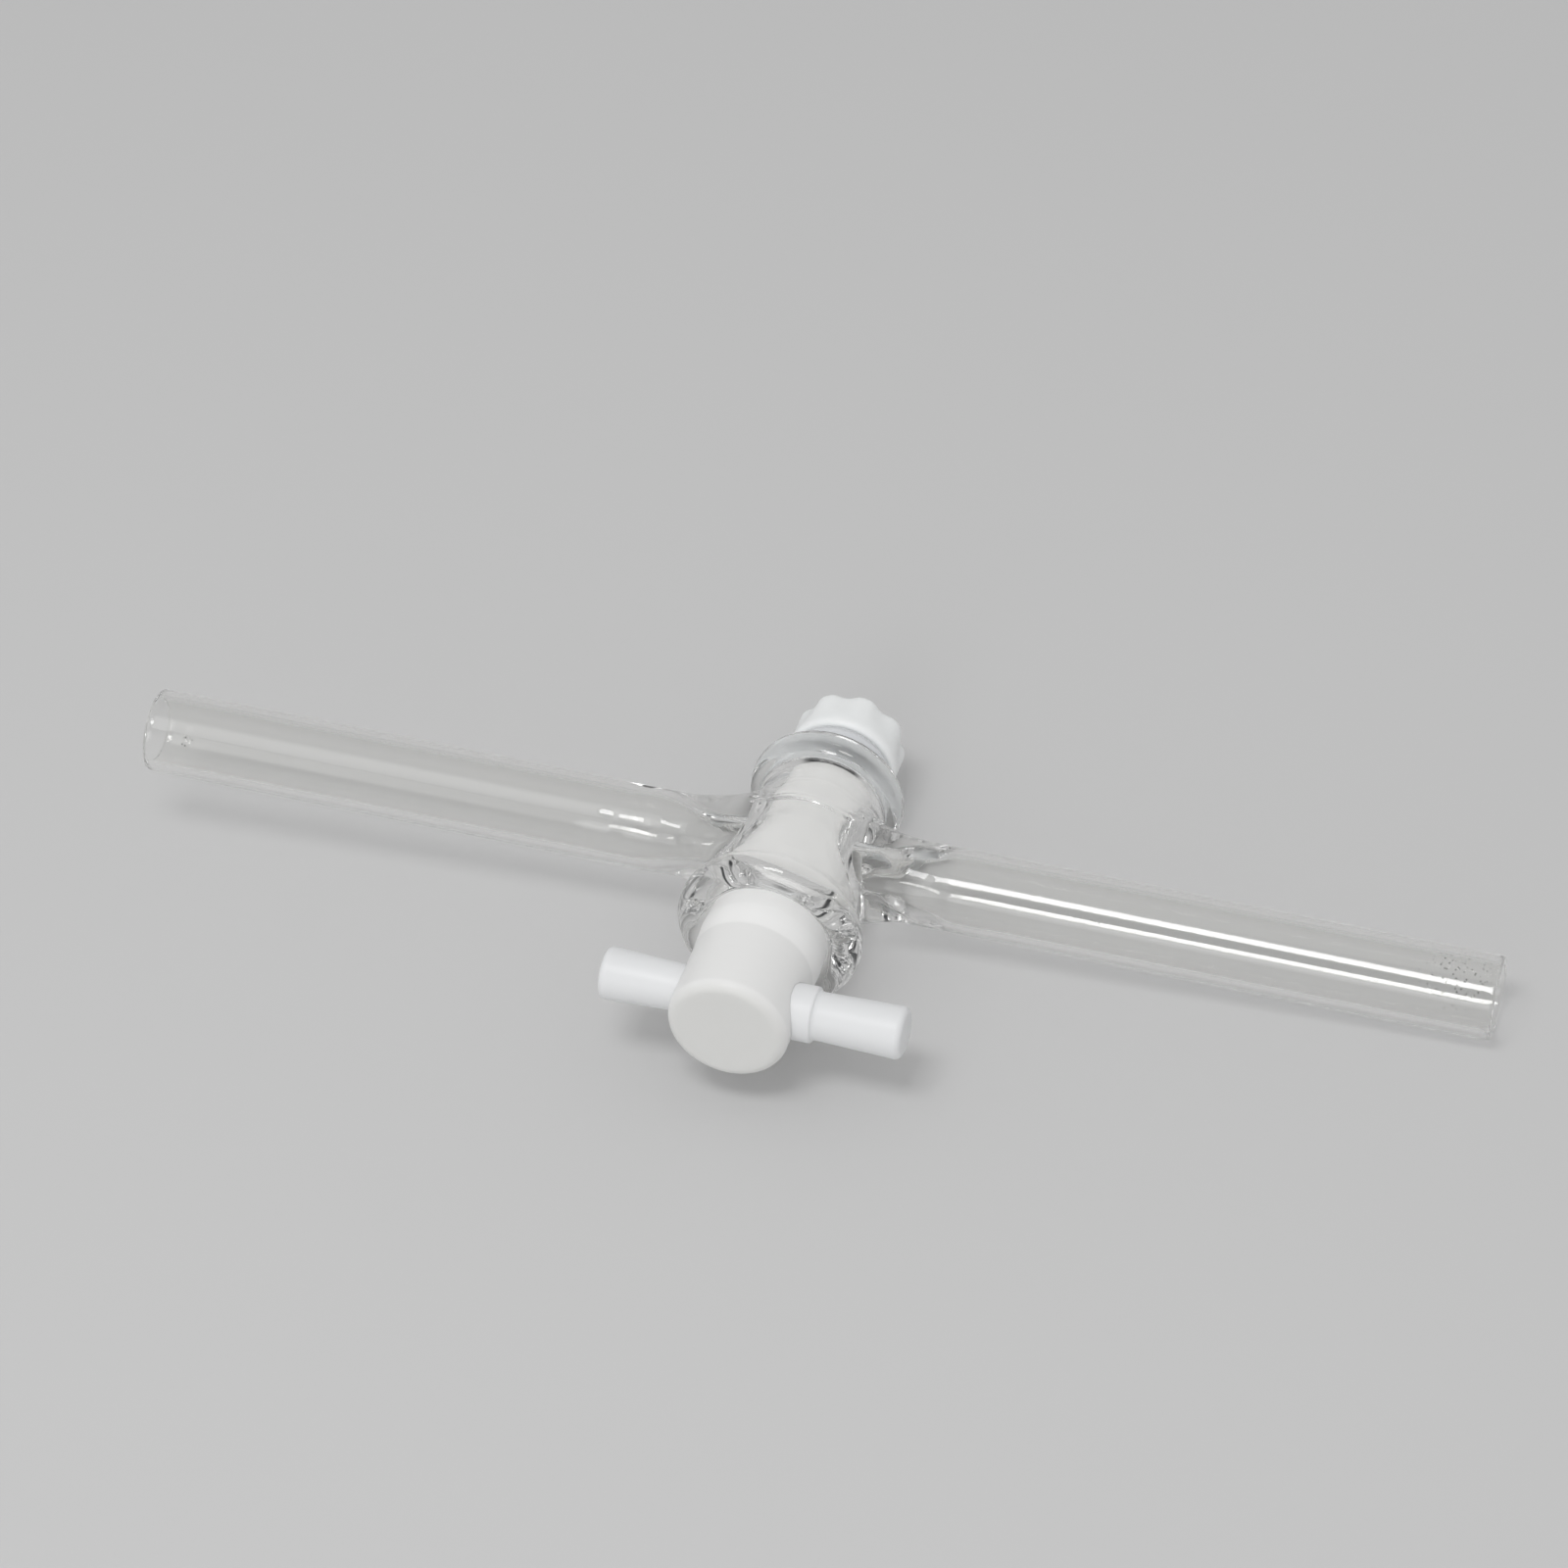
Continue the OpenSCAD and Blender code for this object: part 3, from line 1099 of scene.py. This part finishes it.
    def round_holes(self, cage: bpy.types.Object) -> None:
        """Moves the rims of the two side holes onto a round weld line on the barrel's skin.

        Args:
            cage: the barrel's cage, with its holes open.
        """
        first = FULL_TURN / self.hole_edges / 2 - math.pi
        outline = sorted((y, r) for r, y in self.barrel_corners())
        points = cage.data.vertices
        for side in (1, -1):
            with editing(cage, Pick.EDGES):
                ring = pick_rims(cage, lambda c: c.x * side > 0)
            ring.sort(key=lambda i: math.atan2(points[i].co.z, points[i].co.y))
            for n, i in enumerate(ring):
                turn = first + FULL_TURN * n / self.hole_edges
                y, z = self.weld_r * math.cos(turn), self.weld_r * math.sin(turn)
                skin = self.read_outline(outline, y)
                goal = Vector((side * math.sqrt(skin**2 - z**2), y, z)) * MM
                with editing(cage):
                    bpy.ops.object.mode_set(mode="OBJECT")
                    points[i].select = True
                    step = goal - points[i].co
                    bpy.ops.object.mode_set(mode="EDIT")
                    bpy.ops.transform.translate(value=step)

    @staticmethod
    def read_outline(outline: Sequence[tuple[float, float]], along: float) -> float:
        """Radius of an outline at a place, read between its points.

        Args:
            outline: (place, radius) pairs in order.
            along: the place.

        Returns:
            The radius.
        """
        for (y0, r0), (y1, r1) in zip(outline, outline[1:]):
            if y0 <= along < y1:
                return r0 + (r1 - r0) * (along - y0) / (y1 - y0)
        return outline[-1][1]

    def arm_cage(self, side: int, reach: float) -> bpy.types.Object:
        """Cage of one arm, from its weld to a little past its end.

        Args:
            side: 1 for the right arm and -1 for the left.
            reach: the arm's length from the key's axis.

        Returns:
            The open tube.
        """
        count = self.hole_edges
        stations = (9.4, 10.5, 12.0, 14.0, 16.5, 21.0, 32.0, 56.0, reach + 6)
        outline = cage_through([(self.arm_flare_r(x), x) for x in stations], count)
        return turned(
            "arm_cage", [(r, side * x) for r, x in outline], Axis.ARMS, count, FULL_TURN / count / 2
        )

    def skin(self) -> bpy.types.Object:
        """The outer skin: cage of barrel and arms, bridged at the welds and smoothed.

        Returns:
            The skin, open at the arms' ends.
        """
        cage = self.barrel_cage()
        arms = [self.arm_cage(side, reach) for side, reach in self.arms]
        take(cage)
        for arm in arms:
            arm.select_set(True)
        bpy.ops.object.join()
        for side in (1, -1):
            with editing(cage, Pick.EDGES):
                pick_rims(cage, lambda c: 0 < c.x * side < self.weld_end * MM)
                bpy.ops.mesh.bridge_edge_loops()
        with editing(cage):
            mend()
        smoothed(cage, self.skin_level)
        form = self.whole_cage()
        smoothed(form, self.skin_level + 1)
        settle(cage, form, self.unworked)
        return cage

    def unworked(self, place: Vector) -> float:
        """How truly round a point, in mm, of the barrel still is: 1 from a little off the welds."""
        full, none = self.true_off
        return fade(math.hypot(place.y, place.z) - self.weld_r, full, none)

    def funnel_share(self, run: float) -> float:
        """How far the funnel has opened, from 0 to 1, at a share of its length.

        Args:
            run: the share of its length.

        Returns:
            An even rise with soft ends.
        """
        soft = self.funnel_soft
        if run < soft:
            return run**2 / (2 * soft * (1 - soft))
        if run > 1 - soft:
            return 1 - (1 - run) ** 2 / (2 * soft * (1 - soft))
        return (run - soft / 2) / (1 - soft)

    def arm_hollow(self, side: int, reach: float) -> bpy.types.Object:
        """The hollow of one arm: port, funnel, tube and its melted mouth.

        Args:
            side: 1 for the right arm and -1 for the left.
            reach: the arm's length from the key's axis.

        Returns:
            The solid to cut away.
        """
        start, end = self.funnel
        runs = [i / self.funnel_rows for i in range(self.funnel_rows + 1)]
        widen = self.tube_r - self.port_r
        funnel = [
            (self.port_r + widen * self.funnel_share(t), start + (end - start) * t) for t in runs
        ]
        lip = self.rim_round
        rows = (21.5, 23.0, 25.0, 28.0, 40.0, 60.0, reach - self.rim_row)
        tube = [(self.tube_r, x) for x in rows]
        mouth = arc((self.tube_r + lip, reach - lip), lip, 180, 112, 4)
        outline = [
            (0.0, 0.0), *((self.port_r, x) for x in (0.0, 5.0, 6.0, 7.0, 8.0)), *funnel, *tube,
            *mouth, (self.arm_r, reach + 2 * lip), (0.0, reach + 2 * lip),
        ]
        hollow = turned(
            "arm_hollow", [(r, side * x) for r, x in outline], Axis.ARMS, self.hollow_facets
        )
        swell(
            hollow, self.hollow_ripple_height,
            lambda p: math.prod(fade(abs(p.x), *ends) for ends in self.hollow_rippled),
            self.hollow_ripple_mm,
        )
        return hollow

    def ground_bore(self) -> bpy.types.Object:
        """The tapered bore, with a melted mouth at the rear face.

        Returns:
            The solid to cut away, with as many facets as the skin.
        """
        start, end = self.bore_reach
        count = self.bore_rows
        rows = [start + (end - start) * i / count for i in range(count + 1)]
        outline = [(0.0, start), *((self.bore_r(y), y) for y in rows), *self.rear_mouth]
        return turned("ground_bore", outline, Axis.KEY, self.barrel_facets * 2**self.skin_level)

    def worked(self, place: Vector) -> float:
        """How much a point of the skin was worked in the flame.

        Args:
            place: the point, in mm.

        Returns:
            1 at the welds, and 0 on the drawn tubes, the barrel's top and the bell.
        """
        reach, off = abs(place.x), math.hypot(place.y, place.z)
        along = math.prod(fade(reach, *ends) for ends in self.worked_reach)
        return along * fade(off, *self.worked_off)

    def ridge(self, place: Vector, along: float, half: float) -> float:
        """How much a point stands on a fine ridge round the barrel.

        Args:
            place: the point, in mm.
            along: the ridge's place along the key.
            half: the distance from its crest at which it has sunk to six tenths.

        Returns:
            1 on the crest, and 0 well off it or out on the arms.
        """
        across = math.hypot(place.x, place.z)
        rise = math.exp(-0.5 * ((place.y - along) / half) ** 2) * fade(across, *self.ridged)
        return rise if rise > 0.01 else 0.0

    def build(self) -> None:
        """Builds the glass: skin, ripples and ridges, cut arm ends, hollows and the bubble."""
        glass = self.skin()
        swell(glass, self.ripple_height, self.worked, self.ripple_mm)
        swell(glass, self.crinkle_height, self.worked, self.crinkle_mm)
        for along, height, half in self.ridges:
            swell(glass, height, lambda p: self.ridge(p, along, half))
        with editing(glass):
            for side, reach in self.arms:
                # A row of points just behind the rim keeps its rounding off the tube's long faces
                cut_across(reach - self.rim_row, side, keep=True)
                cut_across(reach, side)
                bpy.ops.mesh.bevel(
                    offset=self.rim_round * MM, segments=4, profile=0.5, affect="EDGES"
                )
            mend()
        hollow = self.ground_bore()
        for side, reach in self.arms:
            combine(hollow, self.arm_hollow(side, reach), Join.ADD, "EXACT")
        combine(glass, hollow, Join.CUT, "EXACT")
        middle, half = self.bubble
        bpy.ops.mesh.primitive_uv_sphere_add(
            segments=32, ring_count=16, radius=MM, location=Vector(middle) * MM, scale=half
        )
        combine(glass, bpy.context.active_object, Join.CUT, "EXACT")
        take(glass)
        bpy.ops.object.shade_smooth_by_angle(angle=math.radians(30))
        self.mesh = glass

    def is_seat(self, place: Vector) -> bool:
        """Whether a point of the glass, in metres, lies where the washer is pressed on it."""
        start, radius = self.seat
        return place.y > start * MM and math.hypot(place.x, place.z) < radius * MM

    def dress(self) -> None:
        """Gives the glass its two finishes and its place in the frame."""
        super().dress()
        self.mesh.data.materials.append(self.seat_finish.material())
        with editing(self.mesh, Pick.FACES):
            pick_where(self.mesh, Pick.FACES, self.is_seat)
            self.mesh.active_material_index = 1
            bpy.ops.object.material_slot_assign()


@dataclass
class Key(Piece):
    """The key: a turned plug with head, lead-in, ground taper and a threaded stem with flats."""

    name: str = "key_turned"
    body: str = "key"
    node: str = "plug"
    slot: str = "ptfe_key"
    finish: Finish = TurnedPtfe()
    mid_r: float = 6.27
    head_r: float = 7.25
    head_reach: float = 30.6
    head_round: float = 1.35
    # The sawn end is a little hollow: (radius, depth) points
    sawn: Outline = ((0.0, 0.06), (3.0, 0.045), (5.4, 0.01))
    lead_in_start: float = 19.7
    wide_reach: float = 16.5
    taper_end: float = 13.2
    bore_r: float = 2.0
    bar_reach: float = 25.0
    bar_hole_r: float = 2.82
    spot_r: float = 3.38
    stem_r: float = 4.0
    stem_end: float = 24.14
    half_flats: float = 3.3
    thread_root_r: float = 3.42
    # One turn of the thread's ridge, as (height over the root, place along)
    thread: Outline = (
        (-0.25, 0.0), (0.0, 0.06), (0.58, 0.5), (0.58, 0.78), (0.0, 1.22), (-0.25, 1.28),
    )
    pitch: float = 1.5
    stem_chamfer: float = 0.6

    def taper_r(self, along: float) -> float:
        """Radius of the 1 in 7 taper at a place along the key."""
        return self.mid_r - along / TAPER_RUN

    def shank(self) -> bpy.types.Object:
        """The turned plug without its stem.

        Returns:
            The solid of revolution.
        """
        wide = self.taper_r(-self.wide_reach)
        small = self.taper_r(self.taper_end)
        edge, step, ease = 0.15, 0.05, 0.02
        flat_r = self.head_r - self.head_round
        outline = [
            *((r, deep - self.head_reach) for r, deep in self.sawn),
            *arc((flat_r, -self.head_reach + self.head_round), self.head_round, -90, 0, 12),
            (self.head_r, -self.lead_in_start - 1), (self.head_r, -self.lead_in_start),
            (self.head_r + step, -self.lead_in_start + edge),
            (wide - ease, -self.wide_reach - edge), (wide, -self.wide_reach),
            (wide - ease, -self.wide_reach + edge),
            (small, self.taper_end - edge), (small - edge, self.taper_end), (0.0, self.taper_end),
        ]
        return turned("shank", outline, Axis.KEY, 144)

    def stem(self) -> bpy.types.Object:
        """The threaded stem with its two flats and chamfered end.

        Returns:
            The stem, rooted in the shank.
        """
        root, crest = self.thread_root_r, self.stem_r
        start = self.taper_end - 1.0
        stem = rod("stem", root, start, self.stem_end + 1, Axis.KEY)
        low = start + 0.6
        section = [(root + rise, low + along) for rise, along in self.thread]
        turns = (self.stem_end + 1 - low - self.pitch) / self.pitch
        ridge = helix("ridge", section, self.pitch, turns)
        combine(stem, ridge, Join.ADD)
        limit = turned(
            "limit",
            [(0.0, start), (crest, start), (crest, self.stem_end - self.stem_chamfer),
             (crest - self.stem_chamfer, self.stem_end), (0.0, self.stem_end)],
            Axis.KEY,
        )
        combine(stem, limit, Join.KEEP)
        cut_flats(stem, self.half_flats)
        return stem

    def build(self) -> None:
        """Builds the key and cuts its cross bore, handle hole and spot face."""
        key = self.shank()
        combine(key, self.stem(), Join.ADD)
        clear = 9.0
        combine(key, rod("bore", self.bore_r, -clear, clear, Axis.ARMS, 64), Join.CUT)
        spot = math.sqrt(self.head_r**2 - self.spot_r**2)
        hole = turned(
            "hole",
            [(0, -clear), (self.bar_hole_r, -clear), (self.bar_hole_r, spot), (self.spot_r, spot),
             (self.spot_r, clear), (0, clear)],
            Axis.ARMS,
        )
        shift(hole, -self.bar_reach)
        combine(key, hole, Join.CUT)
        shade(key, 25)
        self.mesh = key


@dataclass
class Handle(Piece):
    """The T-bar: a moulded pin with swelling ends and a stop collar on its right."""

    name: str = "handle_bar"
    body: str = "key"
    node: str = "handle"
    slot: str = "handle_plastic"
    finish: Finish = MouldedPlastic(
        name="polypropylene_white_moulded", colour="E7E8E9", roughness=0.42
    )
    bar_r: float = 2.8
    tip_r: float = 3.15
    head_r: float = 7.25
    left_tip: float = 16.4
    right_tip: float = 20.0
    tip_round: float = 0.8
    bar_reach: float = 25.0
    collar_r: float = 3.35
    collar_start: float = 6.376
    collar_end: float = 9.5
    # The collar's round shoulder and its foot on the bar, as (height, reach past the collar) points
    collar_round: float = 0.3
    collar_shoulder: float = 0.5
    collar_foot: Outline = ((0.14, -0.14), (0.03, 0.1), (0.0, 0.4))

    def foot_r(self) -> float:
        """Radius of the swelling right end where it leaves the collar."""
        share = (self.collar_end - self.head_r) / (self.right_tip - self.tip_round - self.head_r)
        return self.bar_r + (self.tip_r - self.bar_r) * share

    def build(self) -> None:
        """Builds the bar along X and lays it across the key's head."""
        inset = self.tip_r - self.tip_round
        soft, foot = 0.12, self.foot_r()
        outline = [
            (0.0, -self.left_tip),
            *arc((inset, -self.left_tip + self.tip_round), self.tip_round, -90, 0, 8),
            (self.bar_r, -self.head_r), (self.bar_r, self.collar_start),
            (self.collar_r - soft, self.collar_start), (self.collar_r, self.collar_start + soft),
            *arc(
                (self.collar_r - self.collar_round, self.collar_end - self.collar_shoulder),
                self.collar_round, 0, 70, 4,
            ),
            *((foot + rise, self.collar_end + x) for rise, x in self.collar_foot),
            *arc((inset, self.right_tip - self.tip_round), self.tip_round, 0, 90, 8),
            (0.0, self.right_tip),
        ]
        bar = turned("bar", outline, Axis.ARMS)
        shift(bar, -self.bar_reach)
        shade(bar, 35)
        self.mesh = bar


@dataclass
class Washer(Piece):
    """The keyed washer: a turned disc whose hole has two flats."""

    name: str = "washer_keyed"
    body: str = "seals"
    node: str = "washer"
    slot: str = "ptfe_washer"
    finish: Finish = TurnedPtfe(
        name="ptfe_washer_turned", colour="DCDEDF", shade="D2D4D6", roughness=0.42,
        ring_height_mm=0.0015, cloud_mm=3.0, depth_mm=0.7,
    )
    start: float = 13.62
    thick: float = 1.8
    rim_r: float = 6.45
    hole_r: float = 4.1
    half_flats: float = 3.4

    def build(self) -> None:
        """Builds the disc with broken edges and cuts its keyed hole."""
        end, soft = self.start + self.thick, 0.12
        disc = turned(
            "disc",
            [(0, self.start), (self.rim_r - soft, self.start), (self.rim_r, self.start + soft),
             (self.rim_r, end - soft), (self.rim_r - soft, end), (0, end)],
            Axis.KEY,
        )
        hole = rod("keyway", self.hole_r, self.start - 1, end + 1, Axis.KEY)
        cut_flats(hole, self.half_flats)
        combine(disc, hole, Join.CUT)
        shade(disc, 30)
        self.mesh = disc


@dataclass
class ORing(Piece):
    """The elastic ring, with the fine flash line that its mould leaves inside and outside."""

    name: str = "o_ring_moulded"
    body: str = "seals"
    node: str = "o_ring"
    slot: str = "ring_rubber"
    finish: Finish = SiliconeRubber()
    start: float = 15.42
    section_r: float = 1.0
    mean_r: float = 5.45
    flash: float = 0.03

    def build(self) -> None:
        """Builds the ring from its section, drawn with a small point at the mould's parting."""
        middle = (self.mean_r, self.start + self.section_r)
        r = self.section_r - self.flash
        half = arc(middle, r, 4, 176, 14)
        other = arc(middle, r, 184, 356, 14)
        out = (self.mean_r + self.section_r, middle[1])
        inner = (self.mean_r - self.section_r, middle[1])
        ring = turned("ring", [out, *half, inner, *other, out], Axis.KEY)
        shade(ring, 35)
        self.mesh = ring


@dataclass
class TensionNut(Piece):
    """The tension nut: moulded with scooped flutes, soft edges and a thread inside."""

    name: str = "tension_nut_moulded"
    body: str = "tension_nut"
    node: str = "nut"
    slot: str = "nut_plastic"
    finish: Finish = MouldedPlastic()
    start: float = 17.44
    thick: float = 5.7
    rim_r: float = 6.7
    bore_r: float = 4.06
    flute_depth: float = 0.75
    flute_front: float = 1.5
    flute_count: int = 8
    flute_turn: float = 7.5
    facets: int = 48
    # Cage depth of a flute at its middle and one facet off it, as shares of its true depth
    flute_shares: tuple[float, float] = (1.1, 0.77)
    edge_round: float = 0.8
    # The cage's rings on both faces, and its rows on the rim
    face_rings: tuple[float, ...] = (0.0, 2.4, 4.6)
    rim_rows: tuple[float, ...] = (1.7, 2.7, 3.8)
    chamfer: float = 0.4
    pitch: float = 1.5
    # One turn of the thread's groove, as (depth in the bore, place along)
    thread: Outline = ((-0.2, 0.0), (0.02, 0.1), (0.45, 0.6), (0.45, 0.8), (0.02, 1.3), (-0.2, 1.4))

    def depth_at(self, along: float) -> float:
        """Depth of a flute at a place along the key: none at the front ring, full at the rear."""
        front = self.start + self.flute_front
        return self.flute_depth * max(along - front, 0.0) / (self.start + self.thick - front)

    def cage(self) -> bpy.types.Object:
        """The nut's cage as a solid disc, with its flutes pressed in.

        Returns:
            The cage.
        """
        start, end, r, rim = self.start, self.start + self.thick, self.edge_round, self.rim_r
        rows = cage_through(
            [*((ring, start) for ring in self.face_rings), *arc((rim - r, start + r), r, -90, 0, 2),
             *((rim, start + y) for y in self.rim_rows), *arc((rim - r, end - r), r, 0, 90, 2),
             *((ring, end) for ring in reversed(self.face_rings))],
            self.facets,
        )
        nut = turned("nut", rows, Axis.KEY, self.facets)
        facet, spacing = 360 / self.facets, 360 / self.flute_count

        def facets_off(point: Vector) -> int:
            """How many facets a point lies from the nearest flute's middle."""
            turn = math.degrees(math.atan2(point.z, point.x)) - self.flute_turn
            return round(abs((turn + spacing / 2) % spacing - spacing / 2) / facet)

        with editing(nut):
            for radius, along in rows:
                depth = self.depth_at(along) if radius > rim - 1.5 * r else 0.0
                for off, share in enumerate(self.flute_shares if depth > 0 else ()):
                    pick_where(
                        nut, Pick.POINTS,
                        lambda p: abs(math.hypot(p.x, p.z) / MM - radius) < NEAR_MM
                        and abs(p.y / MM - along) < NEAR_MM and facets_off(p) == off,
                    )
                    pull = 1 - depth * share / radius
                    bpy.ops.transform.resize(value=(pull, 1, pull), center_override=(0, 0, 0))
        return nut

    def build(self) -> None:
        """Builds the nut's smooth skin and cuts its chamfered, threaded bore."""
        nut = self.cage()
        smoothed(nut, 2)
        bore, c = self.bore_r, self.chamfer
        start, end = self.start, self.start + self.thick
        cutter = turned(
            "bore",
            [(0, start - 1), (bore + c + 1, start - 1), (bore, start + c), (bore, end - c),
             (bore + c + 1, end + 1), (0, end + 1)],
            Axis.KEY,
        )
        section = [(bore + deep, start - 1 + along) for deep, along in self.thread]
        groove = helix("groove", section, self.pitch, (self.thick + 0.8) / self.pitch)
        combine(cutter, groove, Join.ADD)
        combine(nut, cutter, Join.CUT)
        shade(nut, 30)
        self.mesh = nut


# ---------------------------------------------------------------- the studio


def hang(name: str, device: bpy.types.ID, place: Point, gaze: Vector) -> bpy.types.Object:
    """Hangs a lamp or a camera in the scene.

    Args:
        name: its name.
        device: the lamp or the camera.
        place: where it hangs, in mm.
        gaze: the direction in which it looks.

    Returns:
        Its holder.
    """
    holder = bpy.data.objects.new(name, device)
    bpy.context.scene.collection.objects.link(holder)
    holder.location = Vector(place) * MM
    holder.rotation_mode = "QUATERNION"
    holder.rotation_quaternion = gaze.to_track_quat("-Z", "Y")
    return holder


@dataclass(frozen=True)
class Softbox:
    """A soft rectangular lamp."""

    name: str
    place: Point
    aim: Point
    width: float
    height: float
    radiance: float

    def build(self) -> None:
        """Hangs the lamp. Its power gives the radiance over its face."""
        lamp = bpy.data.lights.new(self.name, "AREA")
        lamp.shape, lamp.size, lamp.size_y = "RECTANGLE", self.width * MM, self.height * MM
        lamp.energy = self.radiance * math.pi * lamp.size * lamp.size_y
        gaze = (Vector(self.aim) - Vector(self.place)).normalized()
        hang(self.name, lamp, self.place, gaze).visible_camera = False


@dataclass(frozen=True)
class Studio:
    """A plain pale floor under the resting stopcock, soft lamps and the camera."""

    # The floor's upward direction and its height along it, under bell, bead and the longer arm
    floor_up: Point = (-0.0627, -0.0741, 0.995)
    floor_drop: float = -10.27
    floor_r: float = 3000.0
    backdrop: str = "BCBCBC"
    # The darker ceiling that gloss and glass see, and the heights, as the sine of the elevation,
    # where it begins and has its full depth
    ceiling: str = "303133"
    wall_top: float = 0.3
    ceiling_edge: float = 0.65
    room_light: str = "CECECE"
    camera_place: Point = (148.98, -510.71, 492.60)
    camera_back: Point = (0.21036, -0.71153, 0.67043)
    lens_mm: float = 140.49
    bounces: int = 160
    lamps: tuple[Softbox, ...] = (
        Softbox("key_softbox", (-67.5, -318, 652), (-67.5, 0, 0), 255, 160, 10.0),
        Softbox("side_card", (-262, -318, 652), (-262, 0, 0), 130, 500, 1.1),
        Softbox("front_fill", (0, -846, 308), (0, 0, 0), 500, 400, 1.5),
    )

    def floor(self) -> None:
        """Lays the floor in the plane on which the stopcock comes to rest."""
        up = Vector(self.floor_up).normalized()
        bpy.ops.mesh.primitive_circle_add(
            vertices=96, radius=self.floor_r * MM, fill_type="NGON",
            location=up * self.floor_drop * MM, rotation=up.to_track_quat("Z", "Y").to_euler(),
        )
        floor = bpy.context.active_object
        floor.name = "floor"
        floor.data.materials.append(FloorPaper("floor_paper_matt", self.backdrop).material())

    def world(self) -> None:
        """Makes the room: an even dim light, seen as the backdrop with a darker ceiling."""
        world = bpy.data.worlds.new("studio_room")
        bpy.context.scene.world = world
        world.use_nodes = True
        world.node_tree.nodes.clear()
        add = partial(add_node, world.node_tree)
        up = add("TexCoord").outputs["Generated"]
        height = add("SeparateXYZ", {0: up}).outputs["Z"]
        ceiling = add(
            "MapRange", {"Value": height, "From Min": self.wall_top, "From Max": self.ceiling_edge},
            interpolation_type="SMOOTHSTEP",
        )
        room = add(
            "Mix", {0: ceiling, 6: linear(self.backdrop), 7: linear(self.ceiling)},
            data_type="RGBA",
        )
        seen = add("Background", {"Color": room})
        light = add("Background", {"Color": linear(self.room_light)})
        both = add("MixShader", {0: seen_by_eye(add), 1: light, 2: seen})
        add("OutputWorld", {"Surface": both})

    def camera(self) -> None:
        """Sets the camera."""
        lens = bpy.data.cameras.new("camera")
        lens.lens, lens.sensor_width = self.lens_mm, 36.0
        lens.clip_start, lens.clip_end = 0.01, 20.0
        camera = hang("camera", lens, self.camera_place, -Vector(self.camera_back))
        bpy.context.scene.camera = camera

    def build(self) -> None:
        """Sets up the floor, the room, the lamps and the camera."""
        scene = bpy.context.scene
        scene.view_settings.view_transform = "Standard"
        # Light turns round many times in the bell and the welds before it leaves the glass
        light = scene.cycles
        light.max_bounces = light.glossy_bounces = light.transmission_bounces = self.bounces
        light.transparent_max_bounces = self.bounces
        self.floor()
        self.world()
        for lamp in self.lamps:
            lamp.build()
        self.camera()


def main() -> None:
    """Builds the studio and every piece, in order."""
    logging.basicConfig(level=logging.INFO, format="%(name)s: %(message)s")
    Studio().build()
    for piece in (GlassBody(), Key(), Handle(), Washer(), ORing(), TensionNut()):
        piece.build()
        piece.dress()


if __name__ == "__main__":
    main()
